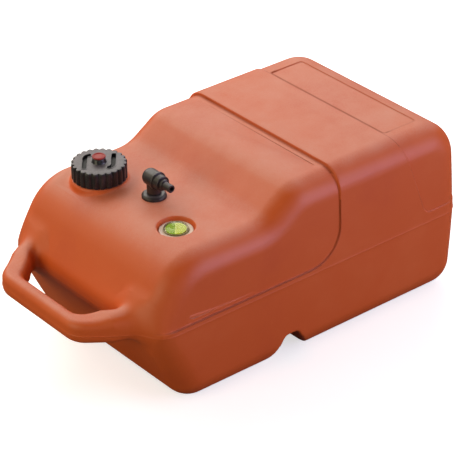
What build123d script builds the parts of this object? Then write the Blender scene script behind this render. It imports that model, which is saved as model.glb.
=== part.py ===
from build123d import *
import os
from math import atan2, cos, tan

os.makedirs("parts", exist_ok=True)

# Portable outboard fuel tank, in millimetres.
# +X runs from the handle to the rear, +Y to the filler cap's side and +Z up.
# The origin is on the ground, under the middle of the tank and its handle.

# ---------------------------------------------------------------- tank: driving dimensions
rear_x = 290.0              # rear wall at the parting plane
nose_x = -230.0             # front wall at its foremost point
nose_z = 121.0
front_foot_x = -172.0       # foot of the undercut front wall
rear_foot_x = 285.5
deck_z = 208.0              # low front deck that carries the fittings
deck_front_x = -180.0
ramp_foot_x = -40.0         # ramp from the deck up to the top
ramp_run = 48.0
top_z = 241.5               # top of the tank ahead of the raised belt
rear_top_x = 283.0
half_width = 156.0          # at the parting plane
parting_z = 115.0
side_bow = 5.0              # how far the sides fall in, bow_span above and below the parting plane
bow_span = 140.0
wall = 4.0
flash_rise = 0.4            # raised moulding line at the parting plane
flash_width = 1.6

shoulder_r = 33.0           # round between the sides and every other face
nose_r = 36.0
foot_r = 36.0
deck_front_r = 73.0
ramp_foot_r = 44.0
ramp_top_r = 47.0
rear_top_r = 50.0
rear_mid_r = 39.0

# raised belt: the faces ahead of it, and the upper faces behind it, lie a step lower
belt_rise = 4.0             # belt above the top ahead of it
belt_front_x = 73.0
belt_line_z = 121.0         # lower edge of the sunken front sides
belt_corner_r = 48.0
front_inset = 2.5           # depth of the sunken front sides
rear_inset = 1.0            # depth of the sunken rear sides
rear_drop = 2.0             # rear top below the belt
rear_line_top_x = 178.0     # slanted front edge of the rear area, at the top
rear_line_foot_x = 221.0
rear_line_z = 130.0
rear_line_top_z = 250.0
rear_line_r = 15.0

panel_front_x = 184.0       # sunken label panel on the rear top
panel_rear_x = 239.0
panel_half_width = 112.0
panel_depth = 1.0
panel_corner_r = 4.0

# strap channel across the underside
channel_front_x = -42.0
channel_rear_x = 30.0
channel_roof_front_x = -16.0
channel_roof_rear_x = 4.0
channel_depth = 39.0
channel_roof_r = 9.0

# handle loop at the nose
handle_front_x = -290.0
handle_root_x = -200.0
handle_z = 117.7
handle_height = 31.5
handle_bar = 21.0           # thickness of the bar, front to back
handle_arm = 30.0
handle_corner_y = 77.8      # half width of the loop at its front corners
handle_root_y = 123.0       # half width where the arms meet the nose
handle_outer_r = 33.0
handle_inner_r = 16.0
handle_edge_r = 10.0
handle_wall = 4.5

# ---------------------------------------------------------------- filler neck and cap
neck_x = -128.0
neck_y = 80.0
neck_ring_width = 11.5      # raised ring round the neck
neck_ring_rise = 3.0
neck_ring_depth = 12.0      # how deep the ring reaches into the deck
neck_ring_edge = 1.5
neck_bore_r = 25.0
neck_r = 29.0
neck_height = 17.0          # rim above the deck
thread_height = 2.0         # thread crest above its root
thread_lead = 6.0
thread_turns = 1.5
thread_root_width = 2.6
thread_crest_width = 1.2
thread_clearance = 0.5
thread_sink = 0.4           # how deep a thread ridge is rooted in its wall
thread_below_rim = 2.6      # thread's end below the rim

cap_skirt_gap = 0.4         # under the skirt, above the ring
cap_wall = 3.1              # skirt outside its bore
cap_rib_r = 1.15            # grip ribs
cap_ribs = 36
cap_top_thickness = 6.0
cap_edge = 1.2
cap_lug_depth = 3.4         # hooked grip slots in the cap's top
cap_lug_width = 5.5
cap_lug_r = 20.5
cap_lug_reach = 24.0
cap_lug_hook = 50.0         # degrees of hook at the slot's inner end
cap_turn_z = -39.0          # direction of the grip slots, degrees from +X
gasket_thickness = 2.0
gasket_width = 4.4
gasket_edge = 0.3           # between the gasket's outside and the cap's bore
seat_gap = 0.05             # between a seal and a face that moves against it

vent_boss_r = 9.2
vent_boss_top_r = 8.0
vent_boss_height = 5.6
vent_stem_r = 3.0
vent_bore_clearance = 0.08
vent_hole_r = 1.6
vent_seat_height = 2.2      # thickness under the stem's seat
vent_knob_r = 8.7
vent_knob_thickness = 2.3
vent_knob_neck = 0.6        # gap between knob and boss when shut
vent_knob_edge = 0.6
vent_lead = 1.75
vent_ring_r = 0.6           # o-ring's section
vent_ring_below_top = 3.4   # o-ring below the boss's top
vent_tip_r = 0.5            # pointed tip that closes the vent hole
vent_tip_reach = 1.2        # tip below the seat
vent_tip_height = 1.8       # tip's cone above the seat
baffle_thickness = 1.2
baffle_clearance = 1.0      # to the neck's bore
baffle_drop = 3.8           # below the cap's ceiling
baffle_posts = 4
baffle_post_r = 1.5
baffle_post_circle_r = 20.0

# ---------------------------------------------------------------- fuel outlet
outlet_x = -102.5
outlet_y = 0.0
outlet_boss_depth = 14.0    # boss under the deck that the bushing screws into
outlet_boss_wall = 4.0
bushing_thread_r = 10.5
bushing_flange_r = 16.0
bushing_flange_height = 4.0
bushing_flange_rim = 1.6
bushing_flange_top_r = 13.0
bushing_length = 20.0       # below its flange
bushing_bore_r = 6.5
running_clearance = 0.06    # radial, between a spigot and its bore
washer_thickness = 1.4
screw_gap = 0.05            # radial, between a screwed-in shank and its hole

stem_r = 9.4
elbow_axis_height = 25.5    # barrel's axis above the deck
barrel_r = 11.1
barrel_back = 13.7          # barrel's closed end, behind the stem's axis
barrel_front = 6.2
barrel_end_r = 3.5
barrel_bore_r = 6.0
barrel_nose_r = 8.0
barrel_nose_length = 9.0
elbow_bore_r = 2.2
elbow_bore_past = 0.8       # barrel's bore past the upright passage
elbow_lift = 0.3            # stem above the bushing
tail_r = 3.3                # lower tail that the dip tube pushes on
tail_length = 14.0
clip_thickness = 1.2
clip_r = 8.8
clip_groove = 1.2
clip_pinch = 1.0            # clip's mouth, less than the groove it snaps on
clip_groove_below = 1.5     # spigot left below the clip
seal_section_r = 0.9        # o-rings of the elbow and the hose spigot
elbow_ring_below = 6.0      # elbow's o-ring below the bushing's top
spigot_ring_back = 5.0      # spigot's o-ring behind the barrel's nose

nut_rim_r = 12.0
nut_rim_length = 3.2
nut_r = 9.9
nut_gap = 0.3
nut_lip = 2.0
spigot_collar_r = 7.0
spigot_collar_end = 23.0    # from the stem's axis
spigot_r = 5.2
spigot_end = 36.0
spigot_bore_r = 3.2
spigot_chamfer = 0.7
spigot_flange = 1.4
spigot_flange_step = 0.4    # flange's edge inside the nose's edge
spigot_start_gap = 0.6      # between the spigot's inner end and the elbow's passage
fit_gap = 0.1               # between pieces that are pushed together

tube_wall = 1.3
tube_end_z = 16.0
strainer_r = 8.0
strainer_height = 16.0
strainer_floor_gap = 2.5    # above the tank's floor
strainer_wall = 1.2
strainer_slots = 8
strainer_slot_width = 1.6

# ---------------------------------------------------------------- level gauge
gauge_x = -127.0
gauge_y = -75.0
recess_r = 23.7
recess_depth = 7.5
recess_edge = 1.5
gauge_hole_r = 13.4
gauge_boss_depth = 8.0      # boss under the recess that the gauge screws into
gauge_flange_r = 21.5
gauge_flange_height = 1.5
gauge_gasket_thickness = 1.0
gauge_shank_length = 18.0   # below the flange
gauge_cup_r = 11.8
gauge_cup_floor = 1.6
lens_r = 15.2
lens_height = 3.5
lens_dome = 0.7
lens_wall = 1.4
lens_seal_width = 0.9
lens_seal_height = 1.2
dial_r = 13.2
dial_thickness = 1.0
dial_rise = 0.5             # dial above the flange
hub_r = 2.0
strip_half_width = 2.9
strip_half_thickness = 0.4
strip_top_gap = 0.3         # below the gauge's shank
strip_foot_gap = 0.5        # above the foot
pivot_r = 0.9               # strip's lower pivot in the foot
pivot_length = 2.5
rod_r = 1.5
rod_spacing = 8.6           # from the gauge's axis
rod_clearance = 0.3
guide_foot_r = 12.4
guide_foot_thickness = 3.0
guide_foot_z = 10.0
float_r = 12.2
float_height = 28.0
float_rest_gap = 2.0        # above the foot
float_bore_r = 4.2
float_top_gap = 1.6         # left under the shank at the top of the travel
plate_thickness = 1.5
plate_r = 11.0
plate_slot_clearance = 0.35
dial_sweep = 240.0          # degrees over the float's whole travel

# ---------------------------------------------------------------- derived places
ramp_slope = (top_z - deck_z) / ramp_run
belt_z = top_z + belt_rise
neck_rim_z = deck_z + neck_height
cap_skirt_z = deck_z + neck_ring_rise + cap_skirt_gap
cap_ceiling_z = neck_rim_z + gasket_thickness
cap_top_z = cap_ceiling_z + cap_top_thickness
thread_crest_r = neck_r + thread_height
thread_start_z = neck_rim_z - thread_below_rim - thread_lead * thread_turns
neck_ring_r = neck_r + neck_ring_width
cap_bore_r = thread_crest_r + thread_clearance
cap_r = cap_bore_r + cap_wall
vent_boss_top_z = cap_top_z + vent_boss_height
vent_seat_z = cap_ceiling_z + vent_seat_height
vent_knob_z = vent_boss_top_z + vent_knob_neck

bushing_face_z = deck_z + washer_thickness
bushing_top_z = bushing_face_z + bushing_flange_height
bushing_end_z = bushing_face_z - bushing_length
elbow_axis_z = deck_z + elbow_axis_height
spigot_in_bushing_r = bushing_bore_r - running_clearance
clip_z = bushing_end_z - elbow_lift - clip_thickness
clip_groove_r = spigot_in_bushing_r - clip_groove
tail_top_z = clip_z - clip_groove_below
tail_end_z = tail_top_z - tail_length
elbow_ring_z = bushing_top_z - elbow_ring_below
elbow_ring_groove_r = bushing_bore_r - seat_gap - 2 * seal_section_r
barrel_nose_end = barrel_front + barrel_nose_length      # distances ahead of the stem's axis
nut_start = barrel_front + nut_gap
nut_lip_start = barrel_nose_end + fit_gap + spigot_flange
spigot_start = elbow_bore_r + spigot_start_gap
spigot_tail_r = barrel_bore_r - fit_gap
spigot_ring_y = barrel_nose_end - spigot_ring_back
spigot_ring_groove_r = barrel_bore_r - seat_gap - 2 * seal_section_r
tube_bore_r = tail_r + fit_gap

recess_floor_z = deck_z - recess_depth
gauge_face_z = recess_floor_z + gauge_gasket_thickness
gauge_flange_z = gauge_face_z + gauge_flange_height
gauge_shank_end_z = gauge_face_z - gauge_shank_length
dial_z = gauge_flange_z + dial_rise
float_rest_z = guide_foot_z + guide_foot_thickness + float_rest_gap
plate_rest_z = float_rest_z + float_height
float_travel = gauge_shank_end_z - float_top_gap - plate_rest_z - plate_thickness
strip_foot_z = guide_foot_z + guide_foot_thickness + strip_foot_gap
strip_top_z = gauge_shank_end_z - strip_top_gap
strip_rate = dial_sweep / float_travel          # degrees of twist per millimetre of height


# ---------------------------------------------------------------- tank shell
def side_outline(crest_z, inset):
    """Side view of the tank, its top at crest_z, every face moved in by inset."""
    corners = [
        ((front_foot_x, 0), foot_r),
        ((nose_x, nose_z), nose_r),
        ((deck_front_x, deck_z), deck_front_r),
        ((ramp_foot_x, deck_z), ramp_foot_r),
        ((ramp_foot_x + (crest_z - deck_z) / ramp_slope, crest_z), ramp_top_r),
        ((rear_top_x, crest_z), rear_top_r),
        ((rear_x, parting_z), rear_mid_r),
        ((rear_foot_x, 0), foot_r),
    ]
    with BuildSketch() as outline:
        with BuildLine():
            Polyline([point for point, radius in corners], close=True)
        make_face()
        for (x, z), radius in corners:
            fillet(outline.vertices().sort_by_distance((x, z, 0))[0], radius)
        if inset:
            offset(amount=-inset, kind=Kind.INTERSECTION)
    return outline.sketch


def tank_form(crest_z, side_inset, inset=0):
    """The tank's closed form: its side view between bowed sides, with round shoulders."""
    reach = half_width - side_inset - inset
    with BuildPart() as form:
        with BuildSketch(Plane.XZ):
            add(side_outline(crest_z, inset))
        extrude(amount=reach + 1, both=True)
        with BuildSketch(Plane.YZ):
            with BuildLine():
                right = ThreePointArc(
                    (reach - side_bow, parting_z - bow_span),
                    (reach, parting_z),
                    (reach - side_bow, parting_z + bow_span),
                )
                left = ThreePointArc(
                    (side_bow - reach, parting_z + bow_span),
                    (-reach, parting_z),
                    (side_bow - reach, parting_z - bow_span),
                )
                Line(right @ 1, left @ 0)
                Line(left @ 1, right @ 0)
            make_face()
        extrude(amount=rear_x - handle_front_x, both=True, mode=Mode.INTERSECT)
        flanks = form.faces().sort_by(Axis.Y)
        fillet(flanks[0].edges() + flanks[-1].edges(), shoulder_r - inset)
    return form.part


def zone(outline, corner, radius):
    """Everything within a side-view outline, right across the tank, with one rounded corner."""
    with BuildPart() as prism:
        with BuildSketch(Plane.XZ) as view:
            with BuildLine():
                Polyline(outline, close=True)
            make_face()
            fillet(view.vertices().sort_by_distance((corner[0], 0, corner[1]))[0], radius)
        extrude(amount=half_width + 5, both=True)
    return prism.part


def channel_prism(grow):
    """The strap channel's side view, grown outwards, right across the tank."""
    with BuildSketch() as view:
        with BuildLine():
            Polyline(
                (channel_front_x, -5),
                (channel_front_x, 0),
                (channel_roof_front_x, channel_depth),
                (channel_roof_rear_x, channel_depth),
                (channel_rear_x, 0),
                (channel_rear_x, -5),
                close=True,
            )
        make_face()
        roof = view.vertices().sort_by(Axis.Y)[-2:]
        fillet(roof, channel_roof_r)
        if grow:
            offset(amount=grow, kind=Kind.INTERSECTION)
    with BuildPart() as prism:
        with BuildSketch(Plane.XZ):
            add(view.sketch)
        extrude(amount=half_width + 5, both=True)
    return prism.part


def handle_loop(inset):
    """The carrying loop at the nose, every face moved in by inset."""
    lean = atan2(handle_root_y - handle_corner_y, nose_x - handle_front_x)
    arm_y = handle_arm / cos(lean)
    root_y = handle_root_y + (handle_root_x - nose_x) * tan(lean)
    bar_back_x = handle_front_x + handle_bar
    bar_back_y = handle_corner_y + handle_bar * tan(lean) - arm_y
    with BuildSketch() as plan:
        with BuildLine():
            Polyline(
                (handle_root_x, root_y),
                (handle_front_x, handle_corner_y),
                (handle_front_x, -handle_corner_y),
                (handle_root_x, -root_y),
                (handle_root_x, arm_y - root_y),
                (bar_back_x, -bar_back_y),
                (bar_back_x, bar_back_y),
                (handle_root_x, root_y - arm_y),
                close=True,
            )
        make_face()
        for side in (1, -1):
            fillet(plan.vertices().sort_by_distance((handle_front_x, side * handle_corner_y, 0))[0],
                   handle_outer_r)
            fillet(plan.vertices().sort_by_distance((bar_back_x, side * bar_back_y, 0))[0], handle_inner_r)
        if inset:
            offset(amount=-inset, kind=Kind.INTERSECTION)
    with BuildPart() as loop:
        with BuildSketch(Plane.XY.offset(handle_z - handle_height / 2 + inset)):
            add(plan.sketch)
        extrude(amount=handle_height - 2 * inset)
        rims = loop.faces().filter_by(Axis.Z).edges()
        rims = rims.filter_by(lambda edge: edge.center().X < handle_root_x - inset - 1)
        fillet(rims, handle_edge_r - inset)
    return loop.part


def turned(x, y, *outline):
    """A round piece about the upright line through (x, y), from its (radius, height) outline."""
    with BuildPart() as piece:
        with BuildSketch(Plane(origin=(x, y, 0), x_dir=(1, 0, 0), z_dir=(0, -1, 0))):
            with BuildLine():
                Polyline(outline, close=True)
            make_face()
        revolve(axis=Axis((x, y, 0), (0, 0, 1)))
    return piece.part


def along_barrel(*outline):
    """A round piece about the barrel's axis, from its (radius, distance ahead of the stem) outline."""
    with BuildPart() as piece:
        with BuildSketch(Plane(origin=(outlet_x, outlet_y, elbow_axis_z), x_dir=(1, 0, 0), z_dir=(0, 0, -1))):
            with BuildLine():
                Polyline(outline, close=True)
            make_face()
        revolve(axis=Axis((outlet_x, outlet_y, elbow_axis_z), (0, -1, 0)))
    return piece.part


def thread_ridge(root_r, crest_r, turn_z):
    """A right-hand thread ridge on the filler neck's axis, started turn_z degrees round."""
    with BuildPart() as ridge:
        with BuildLine():
            path = Helix(pitch=thread_lead, height=thread_lead * thread_turns, radius=root_r)
        with BuildSketch(Plane(origin=path @ 0, x_dir=(1, 0, 0), z_dir=path % 0)):
            with BuildLine():
                Polyline(
                    (0, -thread_root_width / 2),
                    (crest_r - root_r, -thread_crest_width / 2),
                    (crest_r - root_r, thread_crest_width / 2),
                    (0, thread_root_width / 2),
                    close=True,
                )
            make_face()
        sweep(path=path, is_frenet=True)
    return ridge.part.rotate(Axis.Z, turn_z).moved(Location((neck_x, neck_y, thread_start_z)))


upright = (Align.CENTER, Align.CENTER, Align.MIN)
hanging = (Align.CENTER, Align.CENTER, Align.MAX)

belt_form = tank_form(belt_z, 0)
front_form = tank_form(top_z, front_inset)
rear_form = tank_form(belt_z - rear_drop, rear_inset)
front_zone = zone(
    [
        (handle_front_x, belt_line_z),
        (belt_front_x, belt_line_z),
        (belt_front_x, belt_z + 5),
        (handle_front_x, belt_z + 5),
    ],
    (belt_front_x, belt_line_z),
    belt_corner_r,
)
rear_zone = zone(
    [
        (rear_line_foot_x, rear_line_z),
        (rear_x + 5, rear_line_z),
        (rear_x + 5, rear_line_top_z),
        (rear_line_top_x, rear_line_top_z),
    ],
    (rear_line_foot_x, rear_line_z),
    rear_line_r,
)
front_skin = front_form & front_zone
rear_skin = rear_form & rear_zone

with BuildPart() as cavity:
    add(tank_form(top_z, max(front_inset, rear_inset), wall))
    add(handle_loop(handle_wall))
    add(channel_prism(wall), mode=Mode.SUBTRACT)
    with Locations((outlet_x, outlet_y, deck_z - outlet_boss_depth)):
        Cylinder(bushing_thread_r + outlet_boss_wall, outlet_boss_depth, align=upright, mode=Mode.SUBTRACT)
    with Locations((gauge_x, gauge_y, recess_floor_z - gauge_boss_depth)):
        Cylinder(gauge_hole_r + wall, gauge_boss_depth + 1, align=upright, mode=Mode.SUBTRACT)
    with Locations((gauge_x, gauge_y, recess_floor_z - wall)):
        Cylinder(recess_r + wall, recess_depth + wall, align=upright, mode=Mode.SUBTRACT)

with BuildPart() as parting_line:
    add(tank_form(belt_z, 0, -flash_rise))
    add(handle_loop(-flash_rise))
    with Locations((0, 0, parting_z)):
        Box(3 * rear_x, 3 * half_width, flash_width, mode=Mode.INTERSECT)

with BuildPart() as tank_shell:
    add(belt_form)
    add(front_zone, mode=Mode.SUBTRACT)
    add(rear_zone, mode=Mode.SUBTRACT)
    add(front_skin)
    add(rear_skin)
    with BuildSketch(Plane.XY.offset(belt_z)):
        with Locations(((panel_front_x + panel_rear_x) / 2, 0)):
            RectangleRounded(panel_rear_x - panel_front_x, 2 * panel_half_width, panel_corner_r)
    extrude(amount=-(rear_drop + panel_depth), mode=Mode.SUBTRACT)
    add(channel_prism(0), mode=Mode.SUBTRACT)
    add(handle_loop(0))
    add(parting_line.part)
    add(turned(
        neck_x, neck_y,
        (0, deck_z - neck_ring_depth),
        (neck_ring_r, deck_z - neck_ring_depth),
        (neck_ring_r, deck_z + neck_ring_rise - neck_ring_edge),
        (neck_ring_r - neck_ring_edge, deck_z + neck_ring_rise),
        (neck_r, deck_z + neck_ring_rise),
        (neck_r, neck_rim_z),
        (0, neck_rim_z),
    ))
    add(thread_ridge(neck_r - thread_sink, thread_crest_r, 0))
    add(cavity.part, mode=Mode.SUBTRACT)
    with Locations((neck_x, neck_y, neck_rim_z)):
        Cylinder(neck_bore_r, neck_height + neck_ring_depth, align=hanging, mode=Mode.SUBTRACT)
    with Locations((outlet_x, outlet_y, deck_z)):
        Cylinder(bushing_thread_r, outlet_boss_depth, align=hanging, mode=Mode.SUBTRACT)
    with Locations((gauge_x, gauge_y, recess_floor_z)):
        Cylinder(recess_r, recess_depth + 5, align=upright, mode=Mode.SUBTRACT)
        Cylinder(gauge_hole_r, gauge_boss_depth, align=hanging, mode=Mode.SUBTRACT)
tank_shell.part.label = "tank_shell"
export_step(tank_shell.part, "parts/tank_shell.step")

# ---------------------------------------------------------------- filler cap
with BuildPart(Plane(origin=(neck_x, neck_y, 0))) as filler_cap:
    with Locations((0, 0, cap_skirt_z)):
        Cylinder(cap_r, cap_top_z - cap_skirt_z, align=upright)
    fillet(filler_cap.edges().sort_by(Axis.Z)[-1], cap_edge)
    with Locations((0, 0, cap_skirt_z)):
        with PolarLocations(cap_r, cap_ribs):
            Cylinder(cap_rib_r, cap_top_z - cap_edge - cap_skirt_z, align=upright)
    with Locations((0, 0, cap_top_z)):
        Cone(vent_boss_r, vent_boss_top_r, vent_boss_height, align=upright)
    with Locations((0, 0, cap_skirt_z)):
        Cylinder(cap_bore_r, cap_ceiling_z - cap_skirt_z, align=upright, mode=Mode.SUBTRACT)
    with Locations((0, 0, vent_seat_z)):
        Cylinder(vent_stem_r + vent_bore_clearance, vent_boss_top_z - vent_seat_z, align=upright,
                 mode=Mode.SUBTRACT)
        Cylinder(vent_hole_r, vent_seat_height, align=hanging, mode=Mode.SUBTRACT)
    for turn in (0, 180):
        with BuildSketch(Plane(origin=(neck_x, neck_y, cap_top_z)).rotated((0, 0, cap_turn_z + turn))):
            with BuildLine() as slot:
                hook = CenterArc((0, 0), cap_lug_r, -cap_lug_hook, cap_lug_hook)
                Line(hook @ 1, (cap_lug_r, cap_lug_reach))
            trace(slot.line, line_width=cap_lug_width)
        extrude(amount=-cap_lug_depth, mode=Mode.SUBTRACT)
    add(thread_ridge(cap_bore_r + thread_sink, cap_bore_r - thread_height, 180)
        .moved(Location((-neck_x, -neck_y, 0))))
filler_cap.part.label = "filler_cap"
export_step(filler_cap.part, "parts/filler_cap.step")

with BuildPart() as cap_gasket:
    with Locations((neck_x, neck_y, neck_rim_z + seat_gap)):
        Cylinder(cap_bore_r - gasket_edge, gasket_thickness - 2 * seat_gap, align=upright)
        Cylinder(cap_bore_r - gasket_edge - gasket_width, gasket_thickness, align=upright,
                 mode=Mode.SUBTRACT)
cap_gasket.part.label = "cap_gasket"
export_step(cap_gasket.part, "parts/cap_gasket.step")

with BuildPart() as vent_baffle:
    with Locations((neck_x, neck_y, cap_ceiling_z - baffle_drop - baffle_thickness)):
        Cylinder(neck_bore_r - baffle_clearance, baffle_thickness, align=upright)
    with Locations((neck_x, neck_y, cap_ceiling_z - baffle_drop)):
        with PolarLocations(baffle_post_circle_r, baffle_posts):
            Cylinder(baffle_post_r, baffle_drop, align=upright)
vent_baffle.part.label = "vent_baffle"
export_step(vent_baffle.part, "parts/vent_baffle.step")

vent_ring_centre_r = vent_stem_r + vent_bore_clearance - seat_gap - vent_ring_r
vent_groove_r = vent_ring_centre_r - vent_ring_r - seat_gap
vent_ring_z = vent_boss_top_z - vent_ring_below_top
with BuildPart() as vent_screw:
    add(turned(
        neck_x, neck_y,
        (0, vent_seat_z - vent_tip_reach),
        (vent_tip_r, vent_seat_z - vent_tip_reach),
        (vent_stem_r, vent_seat_z + vent_tip_height),
        (vent_stem_r, vent_ring_z - vent_ring_r - fit_gap),
        (vent_groove_r, vent_ring_z - vent_ring_r - fit_gap),
        (vent_groove_r, vent_ring_z + vent_ring_r + fit_gap),
        (vent_stem_r, vent_ring_z + vent_ring_r + fit_gap),
        (vent_stem_r, vent_knob_z),
        (vent_knob_r, vent_knob_z),
        (vent_knob_r, vent_knob_z + vent_knob_thickness),
        (0, vent_knob_z + vent_knob_thickness),
    ))
    rims = vent_screw.edges().filter_by(GeomType.CIRCLE)
    rims = rims.filter_by(lambda edge: abs(edge.radius - vent_knob_r) < 0.01)
    fillet(rims, vent_knob_edge)
vent_screw.part.label = "vent_screw"
export_step(vent_screw.part, "parts/vent_screw.step")

with BuildPart() as vent_o_ring:
    with Locations((neck_x, neck_y, vent_ring_z)):
        Torus(vent_ring_centre_r, vent_ring_r)
vent_o_ring.part.label = "vent_o_ring"
export_step(vent_o_ring.part, "parts/vent_o_ring.step")

# ---------------------------------------------------------------- fuel outlet
with BuildPart() as pickup_gasket:
    with Locations((outlet_x, outlet_y, deck_z)):
        Cylinder(bushing_flange_r, washer_thickness, align=upright)
        Cylinder(bushing_thread_r + fit_gap, washer_thickness, align=upright, mode=Mode.SUBTRACT)
pickup_gasket.part.label = "pickup_gasket"
export_step(pickup_gasket.part, "parts/pickup_gasket.step")

with BuildPart() as pickup_bushing:
    add(turned(
        outlet_x, outlet_y,
        (bushing_bore_r, bushing_end_z),
        (bushing_thread_r - screw_gap, bushing_end_z),
        (bushing_thread_r - screw_gap, bushing_face_z),
        (bushing_flange_r, bushing_face_z),
        (bushing_flange_r, bushing_face_z + bushing_flange_rim),
        (bushing_flange_top_r, bushing_top_z),
        (bushing_bore_r, bushing_top_z),
    ))
pickup_bushing.part.label = "pickup_bushing"
export_step(pickup_bushing.part, "parts/pickup_bushing.step")

with BuildPart() as pickup_elbow:
    with Locations((outlet_x, outlet_y, bushing_top_z + elbow_lift)):
        Cylinder(stem_r, elbow_axis_z - bushing_top_z - elbow_lift, align=upright)
    add(along_barrel(
        (0, barrel_front),
        (nut_rim_r + nut_gap, barrel_front),
        (nut_rim_r + nut_gap, barrel_nose_end),
        (0, barrel_nose_end),
    ), mode=Mode.SUBTRACT)
    add(along_barrel(
        (0, -barrel_back),
        (barrel_r - barrel_end_r, -barrel_back),
        (barrel_r, barrel_end_r - barrel_back),
        (barrel_r, barrel_front),
        (barrel_nose_r, barrel_front),
        (barrel_nose_r, barrel_nose_end),
        (0, barrel_nose_end),
    ))
    add(turned(
        outlet_x, outlet_y,
        (0, tail_end_z),
        (tail_r, tail_end_z),
        (tail_r, tail_top_z),
        (spigot_in_bushing_r, tail_top_z),
        (spigot_in_bushing_r, clip_z),
        (clip_groove_r, clip_z),
        (clip_groove_r, clip_z + clip_thickness),
        (spigot_in_bushing_r, clip_z + clip_thickness),
        (spigot_in_bushing_r, elbow_ring_z - seal_section_r - fit_gap),
        (elbow_ring_groove_r, elbow_ring_z - seal_section_r - fit_gap),
        (elbow_ring_groove_r, elbow_ring_z + seal_section_r + fit_gap),
        (spigot_in_bushing_r, elbow_ring_z + seal_section_r + fit_gap),
        (spigot_in_bushing_r, bushing_top_z + elbow_lift),
        (0, bushing_top_z + elbow_lift),
    ))
    with Locations((outlet_x, outlet_y, tail_end_z)):
        Cylinder(elbow_bore_r, elbow_axis_z - tail_end_z, align=upright, mode=Mode.SUBTRACT)
    add(along_barrel(
        (0, -elbow_bore_r - elbow_bore_past),
        (barrel_bore_r, -elbow_bore_r - elbow_bore_past),
        (barrel_bore_r, barrel_nose_end),
        (0, barrel_nose_end),
    ), mode=Mode.SUBTRACT)
pickup_elbow.part.label = "pickup_elbow"
export_step(pickup_elbow.part, "parts/pickup_elbow.step")

with BuildPart() as elbow_o_ring:
    with Locations((outlet_x, outlet_y, elbow_ring_z)):
        Torus(elbow_ring_groove_r + seal_section_r, seal_section_r)
elbow_o_ring.part.label = "elbow_o_ring"
export_step(elbow_o_ring.part, "parts/elbow_o_ring.step")

with BuildPart() as swivel_clip:
    with Locations((outlet_x, outlet_y, clip_z)):
        Cylinder(clip_r, clip_thickness, align=upright)
        Cylinder(clip_groove_r, clip_thickness, align=upright, mode=Mode.SUBTRACT)
        Box(clip_r + 1, 2 * clip_groove_r - clip_pinch, clip_thickness,
            align=(Align.MIN, Align.CENTER, Align.MIN), mode=Mode.SUBTRACT)
swivel_clip.part.label = "swivel_clip"
export_step(swivel_clip.part, "parts/swivel_clip.step")

with BuildPart() as union_nut:
    add(along_barrel(
        (barrel_nose_r + screw_gap, nut_start),
        (nut_rim_r, nut_start),
        (nut_rim_r, nut_start + nut_rim_length),
        (nut_r, nut_start + nut_rim_length),
        (nut_r, nut_lip_start + nut_lip),
        (spigot_collar_r + fit_gap, nut_lip_start + nut_lip),
        (spigot_collar_r + fit_gap, nut_lip_start),
        (barrel_nose_r + screw_gap, nut_lip_start),
    ))
union_nut.part.label = "union_nut"
export_step(union_nut.part, "parts/union_nut.step")

with BuildPart() as hose_spigot:
    add(along_barrel(
        (spigot_bore_r, spigot_start),
        (spigot_tail_r, spigot_start),
        (spigot_tail_r, spigot_ring_y - seal_section_r - fit_gap),
        (spigot_ring_groove_r, spigot_ring_y - seal_section_r - fit_gap),
        (spigot_ring_groove_r, spigot_ring_y + seal_section_r + fit_gap),
        (spigot_tail_r, spigot_ring_y + seal_section_r + fit_gap),
        (spigot_tail_r, barrel_nose_end + fit_gap),
        (barrel_nose_r - spigot_flange_step, barrel_nose_end + fit_gap),
        (barrel_nose_r - spigot_flange_step, nut_lip_start),
        (spigot_collar_r, nut_lip_start),
        (spigot_collar_r, spigot_collar_end),
        (spigot_r, spigot_collar_end),
        (spigot_r, spigot_end - spigot_chamfer),
        (spigot_r - spigot_chamfer, spigot_end),
        (spigot_bore_r, spigot_end),
    ))
hose_spigot.part.label = "hose_spigot"
export_step(hose_spigot.part, "parts/hose_spigot.step")

with BuildPart() as spigot_o_ring:
    with Locations(Location((outlet_x, outlet_y - spigot_ring_y, elbow_axis_z), (90, 0, 0))):
        Torus(spigot_ring_groove_r + seal_section_r, seal_section_r)
spigot_o_ring.part.label = "spigot_o_ring"
export_step(spigot_o_ring.part, "parts/spigot_o_ring.step")

with BuildPart() as pickup_tube:
    add(turned(
        outlet_x, outlet_y,
        (tube_bore_r, tube_end_z),
        (tube_bore_r + tube_wall, tube_end_z),
        (tube_bore_r + tube_wall, tail_top_z),
        (tube_bore_r, tail_top_z),
    ))
pickup_tube.part.label = "pickup_tube"
export_step(pickup_tube.part, "parts/pickup_tube.step")

strainer_z = wall + strainer_floor_gap
with BuildPart() as pickup_strainer:
    with Locations((outlet_x, outlet_y, strainer_z)):
        Cylinder(strainer_r, strainer_height, align=upright)
    with Locations((outlet_x, outlet_y, strainer_z + strainer_wall)):
        Cylinder(strainer_r - strainer_wall, strainer_height - 2 * strainer_wall, align=upright,
                 mode=Mode.SUBTRACT)
        Cylinder(tube_bore_r + tube_wall + fit_gap, strainer_height, align=upright, mode=Mode.SUBTRACT)
    with Locations((outlet_x, outlet_y, strainer_z + 2 * strainer_wall)):
        with PolarLocations(strainer_r, strainer_slots):
            Box(3 * strainer_wall, strainer_slot_width, strainer_height - 4 * strainer_wall,
                align=upright, mode=Mode.SUBTRACT)
pickup_strainer.part.label = "pickup_strainer"
export_step(pickup_strainer.part, "parts/pickup_strainer.step")

# ---------------------------------------------------------------- level gauge
with BuildPart() as gauge_gasket:
    with Locations((gauge_x, gauge_y, recess_floor_z)):
        Cylinder(gauge_flange_r, gauge_gasket_thickness, align=upright)
        Cylinder(gauge_hole_r + fit_gap, gauge_gasket_thickness, align=upright, mode=Mode.SUBTRACT)
gauge_gasket.part.label = "gauge_gasket"
export_step(gauge_gasket.part, "parts/gauge_gasket.step")

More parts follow.
